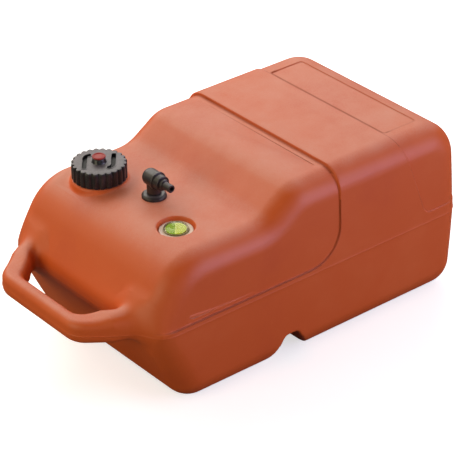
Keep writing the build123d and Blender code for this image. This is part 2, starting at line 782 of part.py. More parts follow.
with BuildPart() as gauge_body:
    add(turned(
        gauge_x, gauge_y,
        (hub_r + running_clearance, gauge_shank_end_z),
        (gauge_hole_r - screw_gap, gauge_shank_end_z),
        (gauge_hole_r - screw_gap, gauge_face_z),
        (gauge_flange_r, gauge_face_z),
        (gauge_flange_r, gauge_flange_z),
        (gauge_cup_r, gauge_flange_z),
        (gauge_cup_r, gauge_shank_end_z + gauge_cup_floor),
        (hub_r + running_clearance, gauge_shank_end_z + gauge_cup_floor),
    ))
gauge_body.part.label = "gauge_body"
export_step(gauge_body.part, "parts/gauge_body.step")

with BuildPart() as gauge_lens:
    with BuildSketch(Plane(origin=(gauge_x, gauge_y, gauge_flange_z), x_dir=(1, 0, 0), z_dir=(0, -1, 0))):
        with BuildLine():
            dome = Spline(
                (lens_r, lens_height), (0, lens_height + lens_dome),
                tangents=((-1, 2 * lens_dome / lens_r), (-1, 0)),
            )
            inner_dome = Spline(
                (0, lens_height + lens_dome - lens_wall), (lens_r - lens_wall, lens_height - lens_wall),
                tangents=((1, 0), (1, -2 * lens_dome / lens_r)),
            )
            Polyline(dome @ 1, inner_dome @ 0)
            Polyline(inner_dome @ 1, (lens_r - lens_wall, 0), (lens_r, 0), dome @ 0)
        make_face()
    revolve(axis=Axis((gauge_x, gauge_y, 0), (0, 0, 1)))
gauge_lens.part.label = "gauge_lens"
export_step(gauge_lens.part, "parts/gauge_lens.step")

with BuildPart() as lens_seal:
    with Locations((gauge_x, gauge_y, gauge_flange_z)):
        Cylinder(lens_r + fit_gap + lens_seal_width, lens_seal_height, align=upright)
        Cylinder(lens_r + fit_gap, lens_seal_height, align=upright, mode=Mode.SUBTRACT)
lens_seal.part.label = "lens_seal"
export_step(lens_seal.part, "parts/lens_seal.step")

with BuildPart() as gauge_dial:
    with Locations((gauge_x, gauge_y, dial_z)):
        Cylinder(dial_r, dial_thickness, align=upright)
gauge_dial.part.label = "gauge_dial"
export_step(gauge_dial.part, "parts/gauge_dial.step")

with BuildSketch(Plane(origin=(gauge_x, gauge_y, strip_foot_z))) as strip_section:
    Rectangle(2 * strip_half_width, 2 * strip_half_thickness)
strip_length = strip_top_z - strip_foot_z
strip = Solid.extrude_linear_with_rotation(
    strip_section.sketch.face(),
    (gauge_x, gauge_y, strip_foot_z),
    (0, 0, strip_length),
    strip_rate * strip_length,
)
with BuildPart() as twist_strip:
    add(strip)
    with Locations((gauge_x, gauge_y, strip_top_z)):
        Cylinder(hub_r, dial_z - strip_top_z, align=upright)
    with Locations((gauge_x, gauge_y, strip_foot_z)):
        Cylinder(pivot_r, pivot_length, align=hanging)
twist_strip.part.label = "twist_strip"
export_step(twist_strip.part, "parts/twist_strip.step")

with BuildPart() as guide_rods:
    with Locations((gauge_x, gauge_y, guide_foot_z)):
        with PolarLocations(rod_spacing, 2):
            Cylinder(rod_r, gauge_shank_end_z - guide_foot_z, align=upright)
guide_rods.part.label = "guide_rods"
export_step(guide_rods.part, "parts/guide_rods.step")

with BuildPart() as guide_foot:
    with Locations((gauge_x, gauge_y, guide_foot_z)):
        Cylinder(guide_foot_r, guide_foot_thickness, align=upright)
        with PolarLocations(rod_spacing, 2):
            Cylinder(rod_r + fit_gap, guide_foot_thickness, align=upright, mode=Mode.SUBTRACT)
        Cylinder(pivot_r + running_clearance, guide_foot_thickness, align=upright, mode=Mode.SUBTRACT)
guide_foot.part.label = "guide_foot"
export_step(guide_foot.part, "parts/guide_foot.step")

with BuildPart() as gauge_float:
    with Locations((gauge_x, gauge_y, float_rest_z)):
        Cylinder(float_r, float_height, align=upright)
        Cylinder(float_bore_r, float_height, align=upright, mode=Mode.SUBTRACT)
        with PolarLocations(rod_spacing, 2):
            Cylinder(rod_r + rod_clearance, float_height, align=upright, mode=Mode.SUBTRACT)
gauge_float.part.label = "gauge_float"
export_step(gauge_float.part, "parts/gauge_float.step")

slot_turn = strip_rate * (plate_rest_z + plate_thickness / 2 - strip_foot_z)
with BuildPart() as float_plate:
    with Locations((gauge_x, gauge_y, plate_rest_z)):
        Cylinder(plate_r, plate_thickness, align=upright)
        with PolarLocations(rod_spacing, 2):
            Cylinder(rod_r + rod_clearance, plate_thickness, align=upright, mode=Mode.SUBTRACT)
    with Locations(Location((gauge_x, gauge_y, plate_rest_z), (0, 0, slot_turn))):
        Box(
            2 * (strip_half_width + plate_slot_clearance),
            2 * (strip_half_thickness + plate_slot_clearance),
            plate_thickness,
            align=upright,
            mode=Mode.SUBTRACT,
        )
float_plate.part.label = "float_plate"
export_step(float_plate.part, "parts/float_plate.step")
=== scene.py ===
from math import cos, hypot, pi, radians, sin, sqrt

import bmesh
import bpy
from bpy.props import FloatProperty, FloatVectorProperty, IntProperty, PointerProperty
from mathutils import Matrix, Vector
from mathutils.bvhtree import BVHTree
from mathutils.kdtree import KDTree


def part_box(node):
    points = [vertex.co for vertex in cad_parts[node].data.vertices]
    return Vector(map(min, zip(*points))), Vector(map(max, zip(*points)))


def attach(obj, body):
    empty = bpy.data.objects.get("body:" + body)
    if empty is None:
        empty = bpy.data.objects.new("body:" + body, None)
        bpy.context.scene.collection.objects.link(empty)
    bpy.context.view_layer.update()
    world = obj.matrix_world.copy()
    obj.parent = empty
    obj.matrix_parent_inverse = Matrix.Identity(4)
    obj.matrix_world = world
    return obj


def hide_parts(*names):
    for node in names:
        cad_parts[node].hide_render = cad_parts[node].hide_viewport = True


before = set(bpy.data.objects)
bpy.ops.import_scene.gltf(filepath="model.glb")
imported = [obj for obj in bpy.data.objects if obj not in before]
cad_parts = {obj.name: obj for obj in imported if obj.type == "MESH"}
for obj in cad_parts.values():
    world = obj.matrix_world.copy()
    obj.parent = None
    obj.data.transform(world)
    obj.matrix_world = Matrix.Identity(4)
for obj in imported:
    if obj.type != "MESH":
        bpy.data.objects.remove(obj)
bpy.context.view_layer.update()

bl_info = {
    "name": "Portable fuel tank",
    "version": (1, 0, 0),
    "blender": (4, 5, 0),
    "location": "View3D > Sidebar > Fuel tank",
    "description": "Builds the tank moulding, filler cap, fuel outlet and level gauge round the CAD frame",
    "category": "Object",
}

MM = 0.001
UP = Vector((0, 0, 1))


def length(name, default, description, **more):
    """A size in metres."""
    return FloatProperty(name=name, description=description, default=default, min=0, unit="LENGTH",
                         precision=5, **more)


def share(name, default, description):
    """A value from 0 to 1."""
    return FloatProperty(name=name, description=description, default=default, min=0, max=1,
                         subtype="FACTOR")


def colour(name, default, description):
    """A linear colour."""
    return FloatVectorProperty(name=name, description=description, default=default, size=3, min=0, max=1,
                               subtype="COLOR")


# ------------------------------------------------------------------------------------------ settings
class TankSettings(bpy.types.PropertyGroup):
    """Sizes and finish of the tank moulding."""

    grid: length("Skin grid", 0.0016, "Grid that the moulded skin is drawn over")
    faces: IntProperty(name="Faces", description="Triangles kept in the skin", default=118000, min=10000)
    blend: IntProperty(name="Handle blend", description="Passes that blend the handle into the nose",
                       default=80, min=0)
    blend_reach: length("Blend reach", 0.027, "How far the blend reaches from the handle's root")
    root_lift: length("Root lift", 0.011, "How far the handle's arms sweep up into the nose")
    soften: IntProperty(name="Softening", description="Passes that soften every moulded edge",
                        default=3, min=0)
    seam_height: length("Seam height", 0.00036, "Height of the moulding seam")
    seam_half_width: length("Seam half width", 0.0008, "Half width of the moulding seam")
    line_depth: length("Line depth", 0.0006, "Depth of the fine line ahead of the belt")
    line_place: length("Line place", 0.0632, "Distance of that line from the frame's middle")
    groove_depth: length("Groove depth", 0.0007, "Depth of the groove at the foot of each step")
    groove_half_width: length("Groove half width", 0.0011, "Half width of that groove")
    # Painted shade: how far the darker colour painted at the foot of the belt's front, along the ledge and
    # round the label panel reaches.
    belt_shade: length("Belt shade", 0.0048, "Reach of the deeper colour at the foot of the belt's front")
    ledge_shade: length("Ledge shade", 0.0016, "Reach of that colour on each side of the ledge")
    panel_shade: length("Panel shade", 0.0030, "Reach of that colour round the label panel")
    ring_trim: length("Ring trim", 0.0030, "How far the rounded ring round the neck draws in")
    orange: colour("Orange", (0.69, 0.110, 0.014), "Polyethylene colour")
    orange_light: colour("Light orange", (0.74, 0.145, 0.030), "Where the plastic is rubbed or thin")
    # The deep orange, darkened further, is also the colour of the painted shade at the foot of each step.
    orange_deep: colour("Deep orange", (0.60, 0.078, 0.012), "Where the plastic is thick")
    roughness: share("Roughness", 0.49, "Roughness of the plastic")


class NeckSettings(bpy.types.PropertyGroup):
    """Sizes of the threaded filler neck."""

    bore: length("Bore radius", 0.025, "Radius of the filler opening")
    root: length("Root radius", 0.029, "Radius under the thread")
    crest: length("Crest radius", 0.031, "Radius over the thread")
    lead: length("Lead", 0.006, "Rise in one turn")
    turns: FloatProperty(name="Turns", description="Turns of thread", default=1.5, min=0.5, max=3)


class CapSettings(bpy.types.PropertyGroup):
    """Sizes and finish of the filler cap and its vent knob."""

    radius: length("Radius", 0.0339, "Radius between the grip lobes")
    crest: length("Crest radius", 0.03575, "Radius over the grip lobes")
    lobe: length("Lobe half width", 0.0033, "Half width of a grip lobe")
    lobes: IntProperty(name="Lobes", description="Grip lobes round the skirt", default=24, min=8, max=40)
    slot_depth: length("Slot depth", 0.0034, "Depth of the hooked slots")
    slot_width: length("Slot width", 0.0060, "Width of the hooked slots")
    slot_place: length("Slot place", 0.0182, "Distance of each slot from the cap's axis")
    lip: length("Slot lip", 0.0005, "Height of the lip round each slot")
    black: colour("Black", (0.016, 0.015, 0.018), "Colour of the black mouldings")
    red: colour("Red", (0.36, 0.020, 0.018), "Colour of the vent knob")
    roughness: share("Roughness", 0.30, "Roughness of the black plastic")


class OutletSettings(bpy.types.PropertyGroup):
    """Sizes and finish of the swivelling fuel outlet."""

    grid: length("Skin grid", 0.0004, "Grid that the elbow's skin is drawn over")
    black: colour("Black", (0.024, 0.017, 0.018), "Colour of the fitting")
    roughness: share("Roughness", 0.33, "Roughness of the fitting")


class GaugeSettings(bpy.types.PropertyGroup):
    """Sizes and finish of the level gauge."""

    cream: colour("Flange", (0.84, 0.64, 0.53), "Colour of the gauge's flange")
    green: colour("Green", (0.19, 0.29, 0.017), "Full side of the dial")
    yellow: colour("Yellow", (0.38, 0.42, 0.028), "Low side of the dial")
    line: colour("Line", (0.46, 0.50, 0.12), "Line between the dial's two sides")
    rim: colour("Lens rim", (0.16, 0.14, 0.03), "Bonded rim of the window")


class StageSettings(bpy.types.PropertyGroup):
    """Camera, lights and floor."""

    azimuth: FloatProperty(name="Azimuth", description="Camera's turn about the tank", unit="ROTATION",
                           default=radians(-39.17))
    elevation: FloatProperty(name="Elevation", description="Camera's height angle", unit="ROTATION",
                             default=radians(30.78))
    roll: FloatProperty(name="Roll", description="Camera's roll", unit="ROTATION", default=radians(-0.53))
    distance: length("Distance", 2.9916, "Camera's distance from its aim")
    lens: FloatProperty(name="Lens", description="Focal length", default=181.27, unit="CAMERA")
    aim: FloatVectorProperty(name="Aim", description="Point that the camera looks at", size=3,
                             subtype="TRANSLATION", default=(0.02127, 0.00726, 0.11138))
    floor: colour("Floor", (0.90, 0.90, 0.90), "Colour of the floor")
    floor_glow: share("Floor glow", 0.62, "Light that the floor adds where the camera sees it")
    floor_bounce: share("Floor bounce", 0.14, "Share of light that the floor gives back to the tank")
    light_size: length("Light size", 1.5, "Side of each soft light")
    light_distance: length("Light distance", 2.6, "Distance of each soft light")
    brightness: FloatProperty(name="Brightness", description="Scale of every soft light",
                              default=1.0, min=0)
    ambient: share("Ambient", 0.035, "Strength of the room's own light")
    room: colour("Room", (0.86, 0.80, 1.0), "Colour of the room's own light")


class FuelTankSettings(bpy.types.PropertyGroup):
    """Every setting of the fuel tank."""

    tank: PointerProperty(type=TankSettings)
    neck: PointerProperty(type=NeckSettings)
    cap: PointerProperty(type=CapSettings)
    outlet: PointerProperty(type=OutletSettings)
    gauge: PointerProperty(type=GaugeSettings)
    stage: PointerProperty(type=StageSettings)


# ------------------------------------------------------------------------------------------ frame places
def centre_of(node):
    """Middle of a CAD node's box."""
    low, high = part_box(node)
    return (Vector(low) + Vector(high)) / 2


def upright(node, z=0.0):
    """Upright axis of a round CAD node, from height z."""
    middle = centre_of(node)
    return Matrix.Translation((middle.x, middle.y, z))


NECK = upright("cap_gasket")
OUTLET = upright("pickup_gasket")
GAUGE = upright("gauge_gasket")
BARREL = upright("pickup_gasket", centre_of("union_nut").z) @ Matrix.Rotation(pi / 2, 4, "X")

# Places on the moulding, in metres.
SEAM_Z = 0.115                      # the seam round the tank
LEDGE_X, LEDGE_Z = 0.030, 0.123     # the ledge along the sides lies ahead of and below these
SIDES_Z, TOP_Z = 0.205, 0.236       # a step below the first is on a side, above the second on the top
NOSE_X = (-0.222, -0.185)           # the steps fade out towards the nose between these
REAR_X, PANEL_FAR_X = 0.150, 0.195  # behind these lie the panel's front edge and its far edges
DECK_Z = 0.200                      # just under the front deck
WELL_Z = 0.2105                     # the neck's well is sunk from here
THREAD_Z, SUNK = 0.2134, 0.0003     # where the threads start, and how far a ridge is sunk into its wall


# ------------------------------------------------------------------------------------------ mesh tools
def spun(outline, place, steps=96):
    """A round solid from its outline of (radius, height) or (radius, height, corner round) in millimetres.

    The outline closes on itself, or on the axis where both its ends lie on it.
    """
    bm = bmesh.new()
    verts = [bm.verts.new((p[0] * MM, 0, p[1] * MM)) for p in outline]
    on_axis = outline[0][0] == 0 and outline[-1][0] == 0
    for a, b in zip(verts, verts[1:] + ([] if on_axis else verts[:1])):
        bm.edges.new((a, b))
    for vert, point in zip(verts, outline):
        if len(point) > 2:
            bmesh.ops.bevel(bm, geom=[vert], offset=point[2] * MM, offset_type="OFFSET", segments=4,
                            profile=0.5, affect="VERTICES", material=-1)
    bmesh.ops.spin(bm, geom=bm.verts[:] + bm.edges[:], cent=(0, 0, 0), axis=UP, dvec=(0, 0, 0),
                   angle=2 * pi, steps=steps, use_merge=True, use_normal_flip=False, use_duplicate=False)
    bmesh.ops.remove_doubles(bm, verts=bm.verts, dist=1e-7)
    bmesh.ops.recalc_face_normals(bm, faces=bm.faces)
    bmesh.ops.transform(bm, matrix=place, verts=bm.verts)
    return bm


def helix(root, crest, place, start_z, lead, turns, start_turn, steps=96):
    """A thread ridge that fades out at both ends; crest may be larger or smaller than root."""
    foot, tip, fade_share, least = 1.3, 0.6, 0.06, 0.1
    bm = bmesh.new()
    rows = [(root, -foot), (crest, -tip), (crest, tip), (root, foot)]
    verts = [bm.verts.new((r, 0, start_z + z * MM)) for r, z in rows]
    edges = [bm.edges.new((a, b)) for a, b in zip(verts, verts[1:] + verts[:1])]
    bm.faces.new(verts)
    bmesh.ops.spin(bm, geom=verts + edges, cent=(0, 0, 0), axis=UP, dvec=(0, 0, lead / steps),
                   angle=2 * pi * turns, steps=round(steps * turns), use_merge=False,
                   use_normal_flip=False, use_duplicate=False)
    open_edges = [e for e in bm.edges if e.is_boundary]
    bmesh.ops.holes_fill(bm, edges=open_edges, sides=0)
    for v in bm.verts:
        along = (v.co.z - start_z) / (lead * turns)
        fade = min(1.0, max(0.0, min(along, 1 - along) / fade_share))
        r = hypot(v.co.x, v.co.y)
        if r > 0 and abs(r - root) > 1e-5:
            keep = (root + (r - root) * max(fade, least)) / r
            v.co.x *= keep
            v.co.y *= keep
    bmesh.ops.recalc_face_normals(bm, faces=bm.faces)
    bmesh.ops.transform(bm, matrix=place @ Matrix.Rotation(start_turn, 4, "Z"), verts=bm.verts)
    return bm


def mesh_of(bm, name):
    """A mesh with a bmesh's contents; the bmesh goes."""
    mesh = bpy.data.meshes.new(name)
    bm.to_mesh(mesh)
    bm.free()
    return mesh


def linked(name, data):
    """A new object in the scene."""
    thing = bpy.data.objects.new(name, data)
    bpy.context.scene.collection.objects.link(thing)
    return thing


def joined(*solids):
    """Several bmeshes in one."""
    whole = bmesh.new()
    for bm in solids:
        mesh = mesh_of(bm, "part")
        whole.from_mesh(mesh)
        bpy.data.meshes.remove(mesh)
    return whole


def settled(thing):
    """The bmesh of a working object with its modifiers applied; the object goes."""
    graph = bpy.context.evaluated_depsgraph_get()
    mesh = bpy.data.meshes.new_from_object(thing.evaluated_get(graph))
    bm = bmesh.new()
    bm.from_mesh(mesh)
    old = thing.data
    bpy.data.objects.remove(thing)
    bpy.data.meshes.remove(old)
    bpy.data.meshes.remove(mesh)
    return bm


def combined(base, tools):
    """A bmesh with others added (UNION) or cut away (DIFFERENCE), from (operation, bmesh) pairs."""
    thing = linked("spare", mesh_of(base, "spare"))
    spares = []
    for operation, bm in tools:
        tool = linked("tool", mesh_of(bm, "tool"))
        spares.append(tool)
        step = thing.modifiers.new(operation, "BOOLEAN")
        step.operation, step.object, step.solver = operation, tool, "EXACT"
    bm = settled(thing)
    for tool in spares:
        bpy.data.objects.remove(tool)
    bmesh.ops.remove_doubles(bm, verts=bm.verts, dist=2e-6)
    bmesh.ops.dissolve_degenerate(bm, edges=bm.edges, dist=2e-6)
    return bm


def smooth(bm, verts, factor=0.5):
    """Draw verts towards their neighbours."""
    bmesh.ops.smooth_vert(bm, verts=verts, factor=factor, use_axis_x=True, use_axis_y=True,
                          use_axis_z=True)


def skinned(bm, grid, faces, passes, before_thinning=None):
    """One continuous moulded skin over a bmesh's overlapping solids, smoothed and then thinned."""
    thing = linked("spare", mesh_of(bm, "spare"))
    step = thing.modifiers.new("skin", "REMESH")
    step.mode, step.voxel_size = "VOXEL", grid
    bm = settled(thing)
    for _ in range(passes):
        smooth(bm, bm.verts)
    if before_thinning:
        before_thinning(bm)
    if 2 * len(bm.faces) > faces:
        ratio = faces / (2 * len(bm.faces))
        thing = linked("spare", mesh_of(bm, "spare"))
        step = thing.modifiers.new("thin", "DECIMATE")
        step.ratio = ratio
        bm = settled(thing)
    return bm


def tree_of(points):
    """A search tree over points."""
    tree = KDTree(len(points))
    for i, point in enumerate(points):
        tree.insert(point, i)
    tree.balance()
    return tree


def middle_of(edge):
    """The middle of an edge."""
    return (edge.verts[0].co + edge.verts[1].co) / 2


def hollows(bm, angle):
    """The edges where faces meet in a hollow corner sharper than an angle, each with its middle."""
    return [(e, middle_of(e)) for e in bm.edges
            if len(e.link_faces) == 2 and not e.is_convex and e.calc_face_angle() > angle]


def points_along(edge, spacing=0.0006):
    """Points along an edge, evenly spaced."""
    count = max(1, round(edge.calc_length() / spacing))
    return [edge.verts[0].co.lerp(edge.verts[1].co, i / count) for i in range(count + 1)]


def reach(point, place):
    """A point's distance from a place's upright axis."""
    return hypot(point.x - place.translation.x, point.y - place.translation.y)


def eased(value, low, high):
    """0 below low, 1 above high, and a smooth rise between."""
    part = min(1.0, max(0.0, (value - low) / (high - low)))
    return part * part * (3 - 2 * part)


def lift_roots(skin, height):
    """Sweep the top of each handle arm up where it meets the nose."""
    root_x, root_y, slant = -0.221, 0.108, 0.502
    for v in skin.verts:
        x, y, z = v.co
        if -0.27 < x < -0.17 and 0.105 < z < 0.175 and 0.05 < abs(y) < 0.16:
            middle = root_y + slant * (x - root_x)
            along = eased(x, -0.266, -0.226)
            across = 1 - eased(abs(abs(y) - middle + 0.005), 0.012, 0.034)
            v.co.z += height * along * across * eased(z, 0.107, 0.126) * (1 - eased(z, 0.134, 0.170))


def piece(name, bm, body, material, nodes=(), sharp=None, bevel=None):
    """A finished piece of the tank from its bmesh."""
    bm.normal_update()
    mesh = mesh_of(bm, name)
    thing = linked(name, mesh)
    mesh.materials.append(material)
    mesh.shade_smooth()
    if sharp:
        mesh.set_sharp_from_angle(angle=radians(sharp))
    if bevel:
        step = thing.modifiers.new("edges", "BEVEL")
        step.width, step.segments = bevel, 3
        step.limit_method, step.angle_limit = "ANGLE", radians(32)
    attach(thing, body)
    if nodes:
        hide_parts(*nodes)
    return thing


# ------------------------------------------------------------------------------------------ materials
def new_group(name, inputs, outputs):
    """An empty shader node group with named sockets, or None with the group if it was built before."""
    if name in bpy.data.node_groups:
        return bpy.data.node_groups[name], None, None
    tree = bpy.data.node_groups.new(name, "ShaderNodeTree")
    for label, kind, default in inputs:
        socket = tree.interface.new_socket(name=label, in_out="INPUT", socket_type=kind)
        socket.default_value = default
    for label, kind in outputs:
        tree.interface.new_socket(name=label, in_out="OUTPUT", socket_type=kind)
    return tree, tree.nodes.new("NodeGroupInput"), tree.nodes.new("NodeGroupOutput")


def node(tree, kind, links=None, **values):
    """A node with its properties set and its inputs linked or filled by name or number."""
    made = tree.nodes.new(kind)
    for key, value in values.items():
        setattr(made, key, value)
    for key, value in (links or {}).items():
        socket = made.inputs[key]
        if isinstance(value, bpy.types.NodeSocket):
            tree.links.new(value, socket)
        else:
            socket.default_value = value
    return made


def maths(tree, operation, a, b=0.0, c=0.0, clamp=False):
    """The output of a Math node."""
    made = node(tree, "ShaderNodeMath", {0: a, 1: b, 2: c}, operation=operation, use_clamp=clamp)
    return made.outputs[0]


def times(tree, a, b, clamp=False):
    """The product of two values."""
    return maths(tree, "MULTIPLY", a, b, clamp=clamp)


def mix_colour(tree, factor, a, b):
    """A colour Mix node's result; its sockets share names, so they are taken by number."""
    made = tree.nodes.new("ShaderNodeMix")
    made.data_type = "RGBA"
    for number, value in ((0, factor), (6, a), (7, b)):
        if isinstance(value, bpy.types.NodeSocket):
            tree.links.new(value, made.inputs[number])
        else:
            made.inputs[number].default_value = (*value, 1)[:4] if number else value
    return made.outputs[2]


def ramp(tree, value, low, high):
    """A value spread from 0 at low to 1 at high, smoothly."""
    return node(tree, "ShaderNodeMapRange", {"Value": value, "From Min": low, "From Max": high},
                interpolation_type="SMOOTHSTEP").outputs["Result"]


def noise(tree, where, scale, detail=2.0, roughness=0.5, distortion=0.0):
    """A Noise texture's value."""
    return node(tree, "ShaderNodeTexNoise", {"Vector": where, "Scale": scale, "Detail": detail,
                                             "Roughness": roughness, "Distortion": distortion}).outputs[0]


def place_on(tree):
    """The object's own coordinates."""
    return node(tree, "ShaderNodeTexCoord").outputs["Object"]


def grain_group():
    """Moulded grain: fine texture of the mould over the slow waves of a thin blown wall."""
    tree, begin, end = new_group(
        "moulded_grain",
        [("Grain", "NodeSocketFloat", 1800.0), ("Grain Depth", "NodeSocketFloat", 0.00002),
         ("Waves", "NodeSocketFloat", 28.0), ("Wave Depth", "NodeSocketFloat", 0.0002)],
        [("Height", "NodeSocketFloat"), ("Grain", "NodeSocketFloat")])
    if begin:
        where = place_on(tree)
        fine = noise(tree, where, begin.outputs["Grain"], 3, 0.6)
        slow = noise(tree, where, begin.outputs["Waves"], 1, 0.4)
        height = maths(tree, "ADD", times(tree, fine, begin.outputs["Grain Depth"]),
                       times(tree, slow, begin.outputs["Wave Depth"]))
        tree.links.new(height, end.inputs["Height"])
        tree.links.new(fine, end.inputs["Grain"])
    return tree


def drift_group():
    """Colour drift: a base colour that wanders to a light and a deep one."""
    tree, begin, end = new_group(
        "colour_drift",
        [("Base", "NodeSocketColor", (0.5, 0.5, 0.5, 1)), ("Light", "NodeSocketColor", (0.6, 0.6, 0.6, 1)),
         ("Deep", "NodeSocketColor", (0.4, 0.4, 0.4, 1)), ("Scale", "NodeSocketFloat", 12.0)],
        [("Color", "NodeSocketColor")])
    if begin:
        where = place_on(tree)
        slow = noise(tree, where, begin.outputs["Scale"], 4, 0.55)
        small = noise(tree, where, times(tree, begin.outputs["Scale"], 23.0), 3, 0.6)
        light = times(tree, ramp(tree, slow, 0.5, 0.78), 0.6)
        deep = times(tree, ramp(tree, slow, 0.5, 0.24), 0.6)
        tint = mix_colour(tree, light, begin.outputs["Base"], begin.outputs["Light"])
        tint = mix_colour(tree, deep, tint, begin.outputs["Deep"])
        speck = times(tree, ramp(tree, small, 0.55, 0.8), 0.22)
        tint = mix_colour(tree, speck, tint, begin.outputs["Light"])
        tree.links.new(tint, end.inputs["Color"])
    return tree


def wear_group():
    """Handling wear: a mask of rubbed edges and one of fine scratches and scuffs."""
    tree, begin, end = new_group(
        "handling_wear",
        [("Edges", "NodeSocketFloat", 0.5), ("Scratches", "NodeSocketFloat", 0.5),
         ("Scale", "NodeSocketFloat", 60.0)],
        [("Rubbed", "NodeSocketFloat"), ("Scratched", "NodeSocketFloat")])
    if begin:
        where = place_on(tree)
        sharpness = node(tree, "ShaderNodeNewGeometry").outputs["Pointiness"]
        patches = noise(tree, where, begin.outputs["Scale"], 4, 0.65)
        rubbed = times(tree, ramp(tree, sharpness, 0.505, 0.56), ramp(tree, patches, 0.35, 0.65))
        tree.links.new(times(tree, rubbed, begin.outputs["Edges"], clamp=True), end.inputs["Rubbed"])
        lines = None
        for turn, squeeze in ((0.35, (9.0, 260.0, 60.0)), (1.9, (300.0, 11.0, 70.0)),
                              (1.2, (14.0, 420.0, 200.0))):
            turned = node(tree, "ShaderNodeMapping", {"Vector": where, "Rotation": (0.3, turn, turn),
                                                      "Scale": squeeze}).outputs[0]
            streak = ramp(tree, noise(tree, turned, 1.0, 2, 0.5), 0.66, 0.74)
            lines = streak if lines is None else maths(tree, "MAXIMUM", lines, streak)
        lines = times(tree, lines, ramp(tree, noise(tree, where, 18.0, 2), 0.42, 0.62))
        tree.links.new(times(tree, lines, begin.outputs["Scratches"], clamp=True), end.inputs["Scratched"])
    return tree


def dust_group():
    """Dust and painted sheen: a mask of faces that look up, in soft patches; partly settled dust, partly a
    painted sheen of light from above.
    """
    tree, begin, end = new_group("settled_dust", [("Amount", "NodeSocketFloat", 0.3)],
                                 [("Dust And Sheen", "NodeSocketFloat")])
    if begin:
        where = place_on(tree)
        facing = node(tree, "ShaderNodeSeparateXYZ",
                      {0: node(tree, "ShaderNodeNewGeometry").outputs["Normal"]}).outputs["Z"]
        patches = maths(tree, "ADD", times(tree, noise(tree, where, 14.0, 5, 0.6), 0.75),
                        times(tree, noise(tree, where, 420.0, 2, 0.6), 0.25))
        mask = times(tree, ramp(tree, facing, 0.70, 0.99), ramp(tree, patches, 0.12, 0.80))
        tree.links.new(times(tree, mask, begin.outputs["Amount"], clamp=True), end.inputs["Dust And Sheen"])
    return tree


def use_group(tree, group, **values):
    """A placed node group; spaces in socket names are written as underscores."""
    placed = node(tree, "ShaderNodeGroup", node_tree=group)
    for key, value in values.items():
        socket = placed.inputs[key.replace("_", " ")]
        if isinstance(value, bpy.types.NodeSocket):
            tree.links.new(value, socket)
        else:
            socket.default_value = (*value, 1) if hasattr(value, "__len__") else value
    return placed.outputs


def material(name, base, light, deep, roughness, grain, waves, drift, edges, scratches, wear_scale, dust,
             dust_colour=(0.55, 0.50, 0.45), rough_spread=0.10, metallic=0.0, subsurface=0.0,
             specular=0.5, paint=None, paint_crease_shade=False):
    """A finished procedural material.

    paint(tree, colour) may lay a pattern over the base colour, and the last flag paints shade at the foot
    of
    each moulded step: a darker colour and a duller finish, as the skin's own layer of painted shade asks.
    """
    if name in bpy.data.materials:
        return bpy.data.materials[name]
    made = bpy.data.materials.new(name)
    made.use_nodes = True
    tree = made.node_tree
    shader = tree.nodes["Principled BSDF"]
    tint = use_group(tree, drift_group(), Base=base, Light=light, Deep=deep, Scale=drift)["Color"]
    if paint:
        tint = paint(tree, tint)
    wear = use_group(tree, wear_group(), Edges=edges, Scratches=scratches, Scale=wear_scale)
    tint = mix_colour(tree, wear["Rubbed"], tint, light)
    tint = mix_colour(tree, times(tree, wear["Scratched"], 0.5), tint, light)
    # Dust and painted sheen: a paler colour on faces that look up, partly settled dust and partly a painted
    # sheen of the light from above.
    settled_dust = use_group(tree, dust_group(), Amount=dust)["Dust And Sheen"]
    tint = mix_colour(tree, settled_dust, tint, dust_colour)
    mould = use_group(tree, grain_group(), Grain=grain[0], Grain_Depth=grain[1], Waves=waves[0],
                      Wave_Depth=waves[1])
    rough = maths(tree, "SUBTRACT", mould["Grain"], 0.5)
    rough = maths(tree, "MULTIPLY_ADD", rough, rough_spread, roughness)
    rough = maths(tree, "MULTIPLY_ADD", wear["Scratched"], 0.15, rough)
    rough = maths(tree, "MULTIPLY_ADD", wear["Rubbed"], -0.06, rough)
    # Painted shade: a darker colour and a duller finish at the foot of each moulded step and in the fine
    # line, read from the skin's layer.
    if paint_crease_shade:
        painted_crease_shade = node(tree, "ShaderNodeAttribute", attribute_name="painted_crease_shade").outputs["Fac"]
        tint = mix_colour(tree, times(tree, painted_crease_shade, 0.75), tint, tint_of(deep, 0.32))
        rough = maths(tree, "MULTIPLY_ADD", painted_crease_shade, 0.45, rough)
    rough = maths(tree, "MULTIPLY_ADD", settled_dust, 0.35, rough, clamp=True)
    height = maths(tree, "MULTIPLY_ADD", wear["Scratched"], -0.00002, mould["Height"])
    bumped = node(tree, "ShaderNodeBump", {"Height": height, "Strength": 1.0, "Distance": 1.0}).outputs[0]
    tree.links.new(tint, shader.inputs["Base Color"])
    tree.links.new(rough, shader.inputs["Roughness"])
    tree.links.new(bumped, shader.inputs["Normal"])
    shader.inputs["Metallic"].default_value = metallic
    shader.inputs["Specular IOR Level"].default_value = specular
    shader.inputs["Subsurface Weight"].default_value = subsurface
    shader.inputs["Subsurface Radius"].default_value = (0.01, 0.003, 0.001)
    return made


def tint_of(base, factor):
    """A lighter or deeper version of a colour."""
    return tuple(min(1.0, c * factor) for c in base)


def orange_plastic():
    """Satin polyethylene of the tank."""
    # The skin's painted shade at the foot of each step is switched on below.
    s = bpy.context.scene.fuel_tank.tank
    # The pale colour on its tops is partly dust and partly a painted sheen.
    return material("orange_polyethylene", tuple(s.orange), tuple(s.orange_light), tuple(s.orange_deep),
                    s.roughness, grain=(1500.0, 0.000035), waves=(22.0, 0.00035), drift=7.0, edges=0.35,
                    scratches=0.35, wear_scale=45.0, dust=0.34, dust_colour=(0.74, 0.54, 0.47),
                    rough_spread=0.12, specular=0.55, paint_crease_shade=True)


